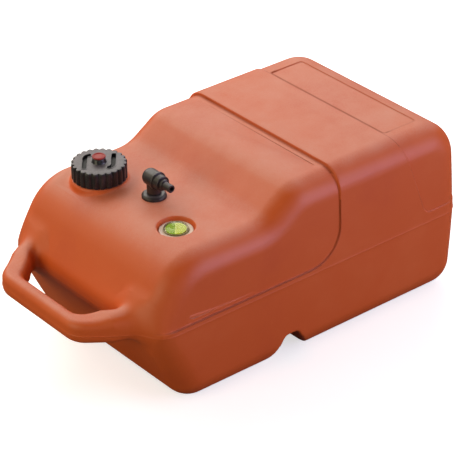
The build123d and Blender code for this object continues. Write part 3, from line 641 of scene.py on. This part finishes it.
def black_plastic(name, base, roughness, dust=0.25):
    """Black polypropylene of the cap and the fitting."""
    # The paler colour on faces that look up is partly dust and partly a painted sheen.
    return material(name, base, (0.058, 0.046, 0.050), tint_of(base, 0.6), roughness,
                    grain=(2600.0, 0.000012), waves=(120.0, 0.00003), drift=60.0, edges=0.45, scratches=0.5,
                    wear_scale=240.0, dust=dust, dust_colour=(0.36, 0.31, 0.34), rough_spread=0.12)


def small_part(name, base, light, deep, roughness, drift=60.0, wear_scale=240.0, depth=0.000012, **more):
    """Material of a small part, with a fine grain."""
    return material(name, base, light, deep, roughness, grain=(2600.0, depth), waves=(150.0, 0.00002),
                    drift=drift, wear_scale=wear_scale, **more)


# ------------------------------------------------------------------------------------------ tank
class BuildMoulding(bpy.types.Operator):
    """Draw the tank's moulded skin over the CAD shell, with blended handle roots, fine lines and a well"""

    bl_idname = "fuel_tank.moulding"
    bl_label = "Tank moulding"

    def execute(self, context):
        """Skin the shell's outside, blend the handle, draw the fine lines and sink the neck's well."""
        s = context.scene.fuel_tank.tank
        bm = bmesh.new()
        bm.from_mesh(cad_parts["tank_shell"].data)
        bmesh.ops.remove_doubles(bm, verts=bm.verts, dist=1e-6)
        roots = tree_of([p for _, p in hollows(bm, 0.35)
                         if -0.228 < p.x < -0.218 and 0.084 < abs(p.y) < 0.1285 and 0.1 < p.z < 0.135])
        self.keep_outside(bm)
        shell = BVHTree.FromBMesh(bm)
        clear = ((NECK, 0.045), (OUTLET, 0.02), (GAUGE, 0.03))
        steps = tree_of([point for e, p in hollows(bm, 0.6) if p.x > NOSE_X[0] and p.z > 0.117
                         and all(reach(p, place) > r for place, r in clear) for point in points_along(e)])
        lids = bmesh.ops.holes_fill(bm, edges=[e for e in bm.edges if e.is_boundary], sides=0)["faces"]
        bmesh.ops.triangulate(bm, faces=lids)

        def blend_handle(skin):
            lift_roots(skin, s.root_lift)
            for part, passes in ((1.0, 0.5), (0.8, 1.0), (0.6, 1.0), (0.9, 0.15), (1.0, 0.05)):
                near = [v for v in skin.verts if roots.find(v.co)[2] < s.blend_reach * part]
                for _ in range(round(s.blend * passes)):
                    smooth(skin, near)

        def line_fade(v):
            along = eased(v.co.y, -0.118, -0.108) * (1 - eased(v.co.y, 0.03, 0.10))
            return (v.co.z > 0.225) * along

        bm = skinned(bm, s.grid, s.faces, s.soften, blend_handle)
        self.cut_grooves(bm, steps, shell, s)
        self.draw_line(bm, Vector((0, 0, SEAM_Z)), UP, s.seam_half_width, s.seam_height, lambda v: 1.0)
        self.draw_line(bm, Vector((s.line_place, 0, 0)), Vector((1, 0, 0)), s.seam_half_width,
                       -s.line_depth, line_fade)
        self.trim_ring(bm, s.ring_trim)
        self.sink_well(bm)
        bmesh.ops.recalc_face_normals(bm, faces=bm.faces)
        low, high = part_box("tank_shell")
        for v in bm.verts:
            v.co = [min(max(c, a), b) for c, a, b in zip(v.co, low, high)]
        piece("tank_moulding", bm, "tank", orange_plastic(), ["tank_shell"])
        return {"FINISHED"}

    def keep_outside(self, bm):
        """Part the shell at its holes and at the neck's ring, and keep its outer side."""
        holes = ((NECK, 0.025), (OUTLET, 0.0105), (GAUGE, 0.0134))

        def in_hole(face):
            if face.calc_center_median().z < 0.18:
                return False
            return any(abs(face.normal.z) < 0.5
                       and all(abs(reach(v.co, place) - r) < 2e-4 for v in face.verts)
                       for place, r in holes)

        def in_neck(face):
            middle = face.calc_center_median()
            return middle.z > 0.2112 and reach(middle, NECK) < 0.0335

        bmesh.ops.delete(bm, geom=[f for f in bm.faces if in_hole(f) or in_neck(f)], context="FACES")
        outside = {max(bm.verts, key=lambda v: v.co.x)}
        fresh = list(outside)
        while fresh:
            for e in fresh.pop().link_edges:
                for v in e.verts:
                    if v not in outside:
                        outside.add(v)
                        fresh.append(v)
        bmesh.ops.delete(bm, geom=[v for v in bm.verts if v not in outside], context="VERTS")

    def cut_grooves(self, bm, steps, shell, s):
        """Bring each moulded step back to a crisp edge, with a fine groove and painted shade at its foot.
        """
        far, shortest = 0.005, 0.0009
        # A layer of painted shade: how much darker each point at the foot of a step is coloured.
        painted_crease_shade = bm.verts.layers.float.new("painted_crease_shade")
        for near, near_ledge in ((0.0036, 0.0044), (0.0024, 0.0036), (0.0014, 0.0028)):
            edges = []
            for e in bm.edges:
                middle = middle_of(e)
                on_ledge = middle.z < LEDGE_Z and middle.x < LEDGE_X
                limit = near_ledge if on_ledge else near
                if e.calc_length() > shortest and steps.find(middle)[2] < limit:
                    edges.append(e)
            bmesh.ops.subdivide_edges(bm, edges=edges, cuts=1)
            bmesh.ops.triangulate(bm, faces=[f for f in bm.faces if len(f.verts) > 3])
        close = []
        for v in bm.verts:
            gap = steps.find(v.co)[2]
            if gap < far:
                close.append(v)
                pull = eased(v.co.x, *NOSE_X) * (1 - eased(gap, 0.0028, far))
                v.co = v.co.lerp(shell.find_nearest(v.co)[0], pull)
        smooth(bm, close, 0.25)
        bm.normal_update()
        moves = []
        for v in close:
            foot, _, gap = steps.find(v.co)
            v[painted_crease_shade] = self.painted_shade_at(v.co, foot, gap, s)
            part = gap / s.groove_half_width
            if part < 1:
                depth = s.groove_depth * (0.4 if v.co.x > PANEL_FAR_X else 1.0)
                moves.append((v, v.normal * (eased(v.co.x, *NOSE_X) * depth * (1 - part * part) ** 2)))
        for v, move in moves:
            v.co -= move

    def painted_shade_at(self, point, foot, gap, s):
        """How much shade is painted at a point beside a step; the rear's steps are the faintest."""
        rear = point.x > REAR_X
        if point.z < SIDES_Z:
            beside = hypot(point.x - foot.x, point.z - foot.z)
            strength = 0.25 if rear else 0.75 - 0.25 * eased(point.z, 0.121, 0.135)
            return eased(point.x, *NOSE_X) * strength * (1 - eased(beside, 0.0005, s.ledge_shade))
        if point.z > TOP_Z:
            strength = 0.25 if point.x > PANEL_FAR_X else 0.75 if rear else 0.62
            return strength * (1 - eased(gap, 0.0003, s.panel_shade if rear else s.belt_shade))
        return (0.2 if rear else 0.5) * (1 - eased(gap, 0.0003, 1.4 * s.groove_half_width))

    def draw_line(self, bm, point, normal, half_width, height, fade):
        """Raise a fine line where a plane crosses the skin; a height below 0 cuts it and paints shade into
        it.
        """
        def over(v):
            return (v.co - point).dot(normal)

        def faces_near():
            return [f for f in bm.faces if min(over(v) for v in f.verts) < 2 * half_width
                    and max(over(v) for v in f.verts) > -2 * half_width]

        near = faces_near()
        for part in (-1.0, -0.4, 0.4, 1.0):
            geom = set(near)
            for f in near:
                geom.update(f.edges)
                geom.update(f.verts)
            bmesh.ops.bisect_plane(bm, geom=list(geom), dist=1e-7, plane_no=normal,
                                   plane_co=point + normal * (part * half_width))
            near = faces_near()
        bm.normal_update()
        painted_crease_shade = bm.verts.layers.float["painted_crease_shade"]
        for v in [v for v in bm.verts if abs(over(v)) < 0.6 * half_width]:
            away = v.normal - normal * v.normal.dot(normal)
            if away.length > 0.3:
                v.co += away.normalized() * height * fade(v)
            # Painted shade inside the cut line.
            if height < 0:
                v[painted_crease_shade] = max(v[painted_crease_shade], fade(v))

    def trim_ring(self, bm, trim):
        """Draw the rounded ring round the neck in a little."""
        for v in bm.verts:
            ring = reach(v.co, NECK)
            if v.co.z > DECK_Z and 0.036 < ring < 0.056:
                inward = trim * eased(ring, 0.036, 0.039) * (1 - eased(ring, 0.044, 0.056)) / ring
                v.co.x += (NECK.translation.x - v.co.x) * inward
                v.co.y += (NECK.translation.y - v.co.y) * inward

    def sink_well(self, bm):
        """Cut the neck's mouth open and sink a closed well into it."""
        def in_mouth(face):
            middle = face.calc_center_median()
            return reach(middle, NECK) < 0.0268 and middle.z > DECK_Z

        bmesh.ops.delete(bm, geom=[f for f in bm.faces if in_mouth(f)], context="FACES")
        rim = [e for e in bm.edges if e.is_boundary]
        for drop, radius in ((0.004, 0.0262), (0.030, 0.0262), (0.075, 0.0258)):
            drawn = bmesh.ops.extrude_edge_only(bm, edges=rim)["geom"]
            rim = [e for e in drawn if isinstance(e, bmesh.types.BMEdge)]
            for v in {v for e in rim for v in e.verts}:
                away = Vector((v.co.x - NECK.translation.x, v.co.y - NECK.translation.y))
                away = away.normalized() * radius
                v.co = (NECK.translation.x + away.x, NECK.translation.y + away.y, WELL_Z - drop)
        bmesh.ops.holes_fill(bm, edges=rim, sides=0)
        bmesh.ops.triangulate(bm, faces=[f for f in bm.faces if len(f.verts) > 4])


class BuildNeck(bpy.types.Operator):
    """Build the threaded filler neck that stands on the moulding"""

    bl_idname = "fuel_tank.neck"
    bl_label = "Filler neck"

    def execute(self, context):
        """Spin the neck's wall and wind its thread."""
        s = context.scene.fuel_tank.neck
        bore, root = s.bore / MM, s.root / MM
        wall = spun([(bore, 204.5), (root, 204.5), (root, 225, 0.9), (bore, 225, 0.7)], NECK)
        ridge = helix(s.root - SUNK, s.crest, NECK, THREAD_Z, s.lead, s.turns, 0.0)
        piece("filler_neck", joined(wall, ridge), "tank", orange_plastic(), sharp=40)
        return {"FINISHED"}


# ------------------------------------------------------------------------------------------ filler cap
def slot_prism(place, width, low, high, turn, grow=0.0):
    """A hooked slot's outline as a prism between two heights, on the cap's axis."""
    half = width / 2 + grow
    hook, bend, head = 0.0090, -0.0080, 0.0200
    line = []
    for i in range(9):
        a = radians(-80 + 10 * i)
        out = Vector((cos(a), sin(a)))
        line.append((Vector((place - hook, bend)) + out * hook, out))
    line.append((Vector((place, head)), Vector((1, 0))))
    line[0] = (line[0][0] - Vector((-line[0][1].y, line[0][1].x)) * grow, line[0][1])
    line[-1] = (line[-1][0] + Vector((0, grow)), line[-1][1])
    bm = bmesh.new()
    outer = [bm.verts.new((*(p + n * half), low)) for p, n in line]
    inner = [bm.verts.new((*(p - n * half), low)) for p, n in line]
    for a, b, c, d in zip(outer, outer[1:], inner[1:], inner):
        bm.faces.new((a, b, c, d))
    lifted = bmesh.ops.extrude_face_region(bm, geom=bm.faces[:])["geom"]
    for v in [g for g in lifted if isinstance(g, bmesh.types.BMVert)]:
        v.co.z = high
    ends = [p + n * side for p, n in (line[0], line[-1]) for side in (half, -half)]
    corners = [e for e in bm.edges if abs(e.verts[0].co.z - e.verts[1].co.z) > 1e-6
               and any((e.verts[0].co.xy - end).length < 1e-5 for end in ends)]
    bmesh.ops.bevel(bm, geom=corners, offset=half * 0.8, offset_type="OFFSET", segments=5, profile=0.5,
                    affect="EDGES", material=-1)
    bmesh.ops.recalc_face_normals(bm, faces=bm.faces)
    bmesh.ops.transform(bm, matrix=NECK @ Matrix.Rotation(turn, 4, "Z"), verts=bm.verts)
    return bm


class BuildCap(bpy.types.Operator):
    """Build the black filler cap with its grip lobes, hooked slots and vent boss"""

    bl_idname = "fuel_tank.filler_cap"
    bl_label = "Filler cap"

    def execute(self, context):
        """Draw the lobed outline up through the skirt, add the lips and the boss and cut the slots."""
        s = context.scene.fuel_tank.cap
        neck = context.scene.fuel_tank.neck
        skirt_z, top_z, wall, lip_width = 0.2114, 0.2330, 0.0315, 0.0011
        slots = [radians(turn) for turn in (-39, 141)]
        tools = [("UNION", slot_prism(s.slot_place, s.slot_width, top_z - 0.001, top_z + s.lip, turn,
                                      lip_width)) for turn in slots]
        tools.append(("UNION", spun([
            (0, 232), (10.4, 232), (9.2, 233.9, 0.8), (8.1, 238.6, 0.4), (5.2, 238.6, 0.3), (4.8, 238.2),
            (3.08, 238.2), (3.08, 233.2), (0, 233.2)], NECK, 72)))
        tools += [("DIFFERENCE", slot_prism(s.slot_place, s.slot_width, top_z - s.slot_depth,
                                            top_z + 0.004, turn)) for turn in slots]
        body = combined(self.lobed_cup(s, skirt_z, top_z, wall), tools)
        ridge = helix(wall + SUNK, 0.0295, NECK, THREAD_Z, neck.lead, neck.turns, pi)
        # The grey on the cap's top is partly dust and partly a painted sheen.
        black = black_plastic("black_polypropylene", tuple(s.black), s.roughness, dust=0.62)
        cap = piece("filler_cap_body", joined(body, ridge), "cap", black, ["filler_cap"],
                    sharp=35, bevel=0.0003)
        # Painted shade: the slots' floors and walls get a much darker, duller black that stands in for the
        # shade inside them.
        cap.data.materials.append(black_plastic("slot_painted_shade", tint_of(s.black, 0.35), 0.6, dust=0.0))
        for face in cap.data.polygons:
            middle = face.center
            deep = top_z - s.slot_depth - 0.0002 < middle.z < top_z - 0.0004
            if deep and 0.010 < reach(middle, NECK) < wall:
                face.material_index = 1
        return {"FINISHED"}

    def lobed_cup(self, s, skirt_z, top_z, wall):
        """A cup with its mouth down: grip lobes outside, a round wall inside."""
        across = [x * s.lobe for x in (-1.0, -0.92, -0.75, -0.45, 0.0, 0.45, 0.75, 0.92, 1.0)]
        per_lobe = len(across) + 1
        pitch = 2 * pi / s.lobes
        bm = bmesh.new()
        first = bmesh.ops.create_circle(bm, cap_ends=False, radius=s.radius,
                                        segments=per_lobe * s.lobes)["verts"]

        def shape(verts, valley, crest, z):
            for i, v in enumerate(verts):
                k, j = divmod(i, per_lobe)
                angle, out = (k + 0.5) * pitch, valley
                if j < len(across):
                    angle = k * pitch + across[j] / s.radius
                    out += (crest - valley) * sqrt(max(0.0, 1 - (across[j] / s.lobe) ** 2))
                v.co = (out * cos(angle), out * sin(angle), z)

        def next_ring(verts):
            edges = [bm.edges.get(pair) for pair in zip(verts, verts[1:] + verts[:1])]
            made = set(bmesh.ops.extrude_edge_only(bm, edges=edges)["geom"])
            return [next(e.other_vert(v) for e in v.link_edges if e.other_vert(v) in made) for v in verts]

        ring = first
        shape(ring, s.radius - 0.0005, s.crest - 0.0010, skirt_z)
        for valley, crest, z in (
                (0, 0, skirt_z + 0.0006), (0, 0, top_z - 0.0055), (0.0008, 0, top_z - 0.0026),
                (0.0012, 0.0001, top_z - 0.0012), (0.0015, 0.0004, top_z - 0.0005),
                (0.0019, 0.0009, top_z - 0.0001), (0.0023, 0.0014, top_z)):
            ring = next_ring(ring)
            shape(ring, s.radius - valley, s.crest - crest, z)
        bm.faces.new(ring)
        ring = first
        for radius, z in ((0.0319, skirt_z), (wall, skirt_z + 0.0006), (wall, 0.2268), (0.0312, 0.2270)):
            ring = next_ring(ring)
            shape(ring, radius, radius, z)
        bm.faces.new(ring)
        bmesh.ops.recalc_face_normals(bm, faces=bm.faces)
        bmesh.ops.transform(bm, matrix=NECK, verts=bm.verts)
        return bm


class BuildKnob(bpy.types.Operator):
    """Build the red vent knob with its pointed stem"""

    bl_idname = "fuel_tank.vent_knob"
    bl_label = "Vent knob"

    def execute(self, context):
        """Spin the mushroom head and its stem."""
        s = context.scene.fuel_tank.cap
        bm = spun([
            (0, 228.0), (0.5, 228.0), (3.0, 231.0), (3.0, 239.2, 0.3), (7.9, 239.2, 0.3), (8.7, 239.9, 0.4),
            (8.7, 240.9, 0.5), (7.9, 241.5, 0.5), (6.9, 241.5, 0.3), (6.1, 240.6, 0.5), (0, 240.4)], NECK)
        base = tuple(s.red)
        red = small_part("red_nylon", base, (0.50, 0.05, 0.04), tint_of(base, 0.6), 0.40, drift=90.0,
                         wear_scale=300.0, depth=0.00001, edges=0.5, scratches=0.4, dust=0.05,
                         dust_colour=(0.5, 0.2, 0.17), specular=0.3)
        piece("vent_knob_head", bm, "vent_knob", red, ["vent_screw"], sharp=40)
        return {"FINISHED"}


# ------------------------------------------------------------------------------------------ fuel outlet
def fitting_black():
    """Black plastic of the fuel outlet."""
    s = bpy.context.scene.fuel_tank.outlet
    return black_plastic("black_acetal", tuple(s.black), s.roughness)


class BuildBushing(bpy.types.Operator):
    """Build the flanged bushing that is screwed into the deck"""

    bl_idname = "fuel_tank.bushing"
    bl_label = "Outlet bushing"

    def execute(self, context):
        """Spin the bushing."""
        bm = spun([
            (6.5, 189.4), (10.45, 189.4, 0.5), (10.45, 209.4), (16.0, 209.4, 0.3), (16.0, 211.0, 0.7),
            (13.0, 213.4, 0.8), (6.5, 213.4, 0.3)], OUTLET, 112)
        piece("outlet_bushing", bm, "tank", fitting_black(), ["pickup_bushing"], sharp=40)
        return {"FINISHED"}


class BuildElbow(bpy.types.Operator):
    """Build the swivelling elbow with its thick barrel"""

    bl_idname = "fuel_tank.elbow"
    bl_label = "Outlet elbow"

    def execute(self, context):
        """Skin the stem, the barrel and the tail as one moulding."""
        s = context.scene.fuel_tank.outlet
        stem = spun([(0, 213.7), (9.4, 213.7), (9.4, 233.5), (0, 233.5)], OUTLET)
        barrel = spun([(0, -13.7), (7.6, -13.7, 1.5), (11.1, -10.2, 3.0), (11.1, 6.2), (0, 6.2)], BARREL)
        body = skinned(joined(stem, barrel), s.grid, faces=60000, passes=5)
        nose = spun([(6.0, 5.0), (8.0, 5.0), (8.0, 15.2, 0.4), (6.0, 15.2, 0.3)], BARREL, 72)
        spigot = spun([
            (2.2, 172.4), (3.3, 172.4, 0.4), (3.3, 186.4), (6.44, 186.4, 0.3), (6.44, 187.9), (5.24, 187.9),
            (5.24, 189.1), (6.44, 189.1), (6.44, 206.4), (4.7, 206.4), (4.7, 208.4), (6.44, 208.4),
            (6.44, 214.6), (2.2, 214.6)], OUTLET, 72)
        piece("outlet_elbow", joined(body, nose, spigot), "elbow", fitting_black(),
              ["pickup_elbow"], sharp=55)
        return {"FINISHED"}


class BuildSpigot(bpy.types.Operator):
    """Build the union nut and the hose spigot"""

    bl_idname = "fuel_tank.spigot"
    bl_label = "Union nut and hose spigot"

    def execute(self, context):
        """Spin both pieces on the barrel's axis."""
        black = fitting_black()
        nut = spun([
            (8.05, 6.5), (12.0, 6.5, 0.5), (12.0, 9.7, 0.9), (9.9, 9.7, 0.5), (9.9, 18.7, 0.9),
            (7.1, 18.7, 0.3), (7.1, 16.7), (8.05, 16.7)], BARREL, 112)
        piece("union_nut_body", nut, "elbow", black, ["union_nut"], sharp=40)
        spigot = spun([
            (3.2, 2.8), (5.94, 2.8, 0.3), (5.94, 15.3), (7.6, 15.3), (7.6, 16.7), (7.0, 16.7),
            (7.0, 23.0, 0.7), (5.2, 23.0, 0.4), (5.2, 36.0, 0.8), (3.2, 36.0, 0.4)], BARREL)
        piece("hose_spigot_body", spigot, "elbow", black, ["hose_spigot"], sharp=40)
        return {"FINISHED"}


# ------------------------------------------------------------------------------------------ level gauge
class BuildGauge(bpy.types.Operator):
    """Build the level gauge's pale head, its window and its dial"""

    bl_idname = "fuel_tank.gauge"
    bl_label = "Level gauge"

    def execute(self, context):
        """Spin the head, the window and the dial."""
        s = context.scene.fuel_tank.gauge
        cream = tuple(s.cream)
        pale = small_part("cream_plastic", cream, tint_of(cream, 1.25), tint_of(cream, 0.75), 0.34,
                          depth=0.00001, edges=0.4, scratches=0.3, dust=0.15, dust_colour=(0.6, 0.5, 0.42))
        head = spun([
            (2.06, 183.5), (13.35, 183.5, 0.4), (13.35, 201.5), (21.5, 201.5, 0.3), (21.5, 203.0, 0.6),
            (16.4, 203.0), (15.9, 202.8), (15.2, 202.8), (15.0, 203.0), (11.8, 203.0, 0.3),
            (11.8, 185.1), (2.06, 185.1)], GAUGE, 112)
        piece("gauge_head", head, "tank", pale, ["gauge_body"], sharp=40)
        self.window()
        base = tuple(s.yellow)
        dial = spun([
            (0, 203.5), (13.2, 203.5, 0.2), (13.2, 204.5, 0.2), (2.6, 204.5), (2.2, 205.0, 0.2),
            (0, 205.0)], GAUGE, 112)
        face = small_part("gauge_dial_print", base, tint_of(base, 1.15), tint_of(base, 0.8), 0.42,
                          drift=80.0, depth=0.00001, edges=0.2, scratches=0.2, dust=0.0, specular=0.1,
                          paint=self.dial_print)
        piece("gauge_dial_disc", dial, "dial", face, ["gauge_dial"], sharp=40)
        return {"FINISHED"}

    def window(self):
        """Clear domed window of the gauge; its shadow lets light through."""
        lens = spun([
            (0, 207.2), (6.0, 207.08), (10.8, 206.86), (15.2, 206.5, 0.7), (15.2, 203.0), (13.8, 203.0),
            (13.8, 205.2, 0.3), (10.5, 205.5), (6.0, 205.72), (0, 205.8)], GAUGE, 128)
        made = bpy.data.materials.new("clear_window")
        made.use_nodes = True
        tree = made.node_tree
        shader = tree.nodes["Principled BSDF"]
        shader.inputs["Base Color"].default_value = (0.97, 0.98, 0.93, 1)
        shader.inputs["Transmission Weight"].default_value = 1.0
        shader.inputs["IOR"].default_value = 1.15
        haze = use_group(tree, wear_group(), Edges=0.2, Scratches=0.3, Scale=240.0)
        rough = maths(tree, "MULTIPLY_ADD", haze["Scratched"], 0.01, 0.004)
        tree.links.new(rough, shader.inputs["Roughness"])
        clear = node(tree, "ShaderNodeBsdfTransparent", {"Color": (0.93, 0.95, 0.88, 1)})
        light = node(tree, "ShaderNodeLightPath")
        choice = node(tree, "ShaderNodeMixShader",
                      {0: light.outputs["Is Shadow Ray"], 1: shader.outputs[0], 2: clear.outputs[0]})
        tree.links.new(choice.outputs[0], tree.nodes["Material Output"].inputs["Surface"])
        piece("gauge_window", lens, "tank", made, ["gauge_lens"], sharp=40)

    def dial_print(self, tree, tint):
        """Green on the full side, yellow on the low side and a pale line between them."""
        s = bpy.context.scene.fuel_tank.gauge
        where = place_on(tree)
        centred = node(tree, "ShaderNodeMapping",
                       {"Vector": where, "Location": tuple(-GAUGE.translation)}).outputs[0]
        side = node(tree, "ShaderNodeVectorMath", {0: centred, 1: (-0.775, 0.632, 0)},
                    operation="DOT_PRODUCT").outputs["Value"]
        green = ramp(tree, side, 0.0010, 0.0016)
        tint = mix_colour(tree, green, tint, tuple(s.green))
        line = times(tree, ramp(tree, side, -0.0004, 0.0002), maths(tree, "SUBTRACT", 1.0, green))
        return mix_colour(tree, line, tint, tuple(s.line))


# ------------------------------------------------------------------------------------------ inner pieces
class FinishInside(bpy.types.Operator):
    """Give the seals and the pieces inside the tank their own finishes"""

    bl_idname = "fuel_tank.inside"
    bl_label = "Seals and inner pieces"

    def execute(self, context):
        """Assign a procedural material to each CAD node that is kept."""
        rubber = small_part("nitrile_rubber", (0.014, 0.014, 0.015), (0.045, 0.043, 0.042),
                            (0.008, 0.008, 0.008), 0.55, edges=0.3, scratches=0.2, dust=0.2,
                            dust_colour=(0.2, 0.19, 0.18))
        spring = small_part("spring_steel", (0.56, 0.55, 0.53), (0.70, 0.69, 0.66), (0.36, 0.34, 0.32),
                            0.28, edges=0.5, scratches=0.6, dust=0.05, metallic=1.0)
        strip = small_part("strip_steel", (0.60, 0.59, 0.57), (0.74, 0.73, 0.70), (0.40, 0.38, 0.36),
                           0.32, edges=0.5, scratches=0.8, dust=0.05, metallic=1.0)
        rod = small_part("rod_aluminium", (0.70, 0.71, 0.72), (0.82, 0.83, 0.84), (0.52, 0.53, 0.54),
                         0.36, edges=0.4, scratches=0.7, dust=0.05, metallic=1.0)
        tube = small_part("natural_nylon", (0.66, 0.62, 0.50), (0.78, 0.75, 0.64), (0.50, 0.45, 0.33),
                          0.38, edges=0.3, scratches=0.3, dust=0.05, subsurface=0.15)
        white = small_part("white_polypropylene", (0.72, 0.72, 0.70), (0.84, 0.84, 0.82),
                           (0.56, 0.55, 0.52), 0.42, edges=0.3, scratches=0.3, dust=0.05)
        foam = material("black_foam", (0.030, 0.029, 0.028), (0.075, 0.072, 0.068), (0.014, 0.013, 0.013),
                        0.85, grain=(900.0, 0.00025), waves=(90.0, 0.0001), drift=60.0, edges=0.3,
                        scratches=0.1, wear_scale=240.0, dust=0.1, dust_colour=(0.2, 0.19, 0.18))
        cream = bpy.data.materials["cream_plastic"]
        black = bpy.data.materials["black_polypropylene"]
        base = tuple(context.scene.fuel_tank.gauge.rim)
        rim = small_part("olive_seal", base, tint_of(base, 1.5), tint_of(base, 0.6), 0.45, edges=0.3,
                         scratches=0.2, dust=0.1)
        finishes = {
            "cap_gasket": rubber, "vent_o_ring": rubber, "pickup_gasket": rubber, "elbow_o_ring": rubber,
            "spigot_o_ring": rubber, "gauge_gasket": rubber, "lens_seal": rim, "vent_baffle": black,
            "swivel_clip": spring, "pickup_tube": tube, "pickup_strainer": white, "twist_strip": strip,
            "guide_rods": rod, "guide_foot": cream, "gauge_float": foam, "float_plate": cream,
        }
        for name, finish in finishes.items():
            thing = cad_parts[name]
            thing.data.materials.clear()
            thing.data.materials.append(finish)
        return {"FINISHED"}


# ------------------------------------------------------------------------------------------ stage
WARM, AMBER, PLAIN, COOL = (1.0, 0.97, 0.88), (1.0, 0.90, 0.62), (1.0, 1.0, 1.0), (0.72, 0.66, 1.0)
SOFT_LIGHTS = (
    ("back_left_light", 90, 38, 33.0, WARM), ("back_light", 45, 38, 21.5, WARM),
    ("left_light", 135, 38, 9.6, AMBER), ("back_right_light", 0, 38, 6.4, PLAIN),
    ("right_light", 315, 38, 9.0, PLAIN), ("front_left_light", 180, 38, 6.8, AMBER),
    ("low_left_light", 180, 12, 20.5, AMBER), ("low_front_light", 240, 12, 4.6, PLAIN),
    ("low_right_light", 300, 12, 39.0, COOL), ("low_back_left_light", 120, 12, 3.1, PLAIN),
    ("low_back_light", 60, 12, 1.5, PLAIN),
)


class BuildStage(bpy.types.Operator):
    """Set the camera, the soft lights and a plain pale floor"""

    bl_idname = "fuel_tank.stage"
    bl_label = "Stage"

    def execute(self, context):
        """Place the camera, the soft lights, the room's light and the floor."""
        s = context.scene.fuel_tank.stage
        scene = context.scene
        scene.view_settings.view_transform = "Standard"
        a, e, r = s.azimuth, s.elevation, s.roll
        back = Vector((sin(a) * cos(e), -cos(a) * cos(e), sin(e)))
        flat = Vector((cos(a), sin(a), 0))
        high = back.cross(flat)
        right = flat * cos(r) + high * sin(r)
        top = high * cos(r) - flat * sin(r)
        camera = linked("camera", bpy.data.cameras.new("camera"))
        camera.data.lens, camera.data.sensor_width = s.lens, 36
        camera.data.clip_start, camera.data.clip_end = 0.05, 100
        turn = Matrix((right, top, back)).transposed().to_4x4()
        camera.matrix_world = Matrix.Translation(Vector(s.aim) + back * s.distance) @ turn
        scene.camera = camera
        for name, azimuth, elevation, power, tint in SOFT_LIGHTS:
            self.soft_light(name, radians(azimuth), radians(elevation), power * s.brightness, tint, s)
        world = bpy.data.worlds.new("room")
        scene.world = world
        world.use_nodes = True
        tree = world.node_tree
        sky = tree.nodes["Background"]
        seen = node(tree, "ShaderNodeLightPath").outputs["Is Camera Ray"]
        tree.links.new(mix_colour(tree, seen, tuple(s.room), (1, 1, 1)), sky.inputs["Color"])
        strength = maths(tree, "MULTIPLY_ADD", seen, 1.0 - s.ambient, s.ambient)
        tree.links.new(strength, sky.inputs["Strength"])
        self.floor(s)
        return {"FINISHED"}

    def soft_light(self, name, azimuth, elevation, power, tint, s):
        """A square area light on a dome round the tank, turned to it."""
        data = bpy.data.lights.new(name, "AREA")
        data.shape, data.size, data.energy, data.color = "SQUARE", s.light_size, power, tint
        lamp = linked(name, data)
        away = Vector((cos(azimuth) * cos(elevation), sin(azimuth) * cos(elevation), sin(elevation)))
        lamp.location = away * s.light_distance + Vector((0, 0, 0.1))
        lamp.rotation_euler = (-away).to_track_quat("-Z", "Y").to_euler()

    def floor(self, s):
        """A plain pale floor that gives little light back to the tank."""
        bm = bmesh.new()
        bmesh.ops.create_grid(bm, x_segments=8, y_segments=8, size=20)
        ground = linked("floor", mesh_of(bm, "floor"))
        base = tuple(s.floor)
        made = material("pale_floor", base, tint_of(base, 1.02), tint_of(base, 0.98), 0.85,
                        grain=(400.0, 0.00002), waves=(3.0, 0.0), drift=1.5, edges=0.0, scratches=0.0,
                        wear_scale=60.0, dust=0.0)
        tree = made.node_tree
        shader = tree.nodes["Principled BSDF"]
        shader.inputs["Specular IOR Level"].default_value = 0.1
        shader.inputs["Emission Color"].default_value = (1, 1, 1, 1)
        shader.inputs["Emission Strength"].default_value = s.floor_glow
        dull = node(tree, "ShaderNodeBsdfDiffuse", {"Color": (s.floor_bounce,) * 3 + (1,)})
        seen = node(tree, "ShaderNodeLightPath").outputs["Is Camera Ray"]
        choice = node(tree, "ShaderNodeMixShader", {0: seen, 1: dull.outputs[0], 2: shader.outputs[0]})
        tree.links.new(choice.outputs[0], tree.nodes["Material Output"].inputs["Surface"])
        ground.data.materials.append(made)


# ------------------------------------------------------------------------------------------ panel
STEPS = (BuildMoulding, BuildNeck, BuildCap, BuildKnob, BuildBushing, BuildElbow, BuildSpigot, BuildGauge,
         FinishInside, BuildStage)


class FuelTankPanel(bpy.types.Panel):
    """Lists the steps that build the tank"""

    bl_idname = "VIEW3D_PT_fuel_tank"
    bl_label = "Fuel tank"
    bl_space_type = "VIEW_3D"
    bl_region_type = "UI"
    bl_category = "Fuel tank"

    def draw(self, context):
        """Draw one button for each step."""
        for step in STEPS:
            self.layout.operator(step.bl_idname)


CLASSES = (TankSettings, NeckSettings, CapSettings, OutletSettings, GaugeSettings, StageSettings,
           FuelTankSettings, *STEPS, FuelTankPanel)


def register():
    """Register the settings, the steps and the panel."""
    for one in CLASSES:
        bpy.utils.register_class(one)
    bpy.types.Scene.fuel_tank = PointerProperty(type=FuelTankSettings)


def unregister():
    """Take them away again."""
    del bpy.types.Scene.fuel_tank
    for one in reversed(CLASSES):
        bpy.utils.unregister_class(one)


def main():
    """Build everything in order."""
    register()
    bpy.ops.fuel_tank.moulding()
    bpy.ops.fuel_tank.neck()
    bpy.ops.fuel_tank.filler_cap()
    bpy.ops.fuel_tank.vent_knob()
    bpy.ops.fuel_tank.bushing()
    bpy.ops.fuel_tank.elbow()
    bpy.ops.fuel_tank.spigot()
    bpy.ops.fuel_tank.gauge()
    bpy.ops.fuel_tank.inside()
    bpy.ops.fuel_tank.stage()


if __name__ == "__main__":
    main()
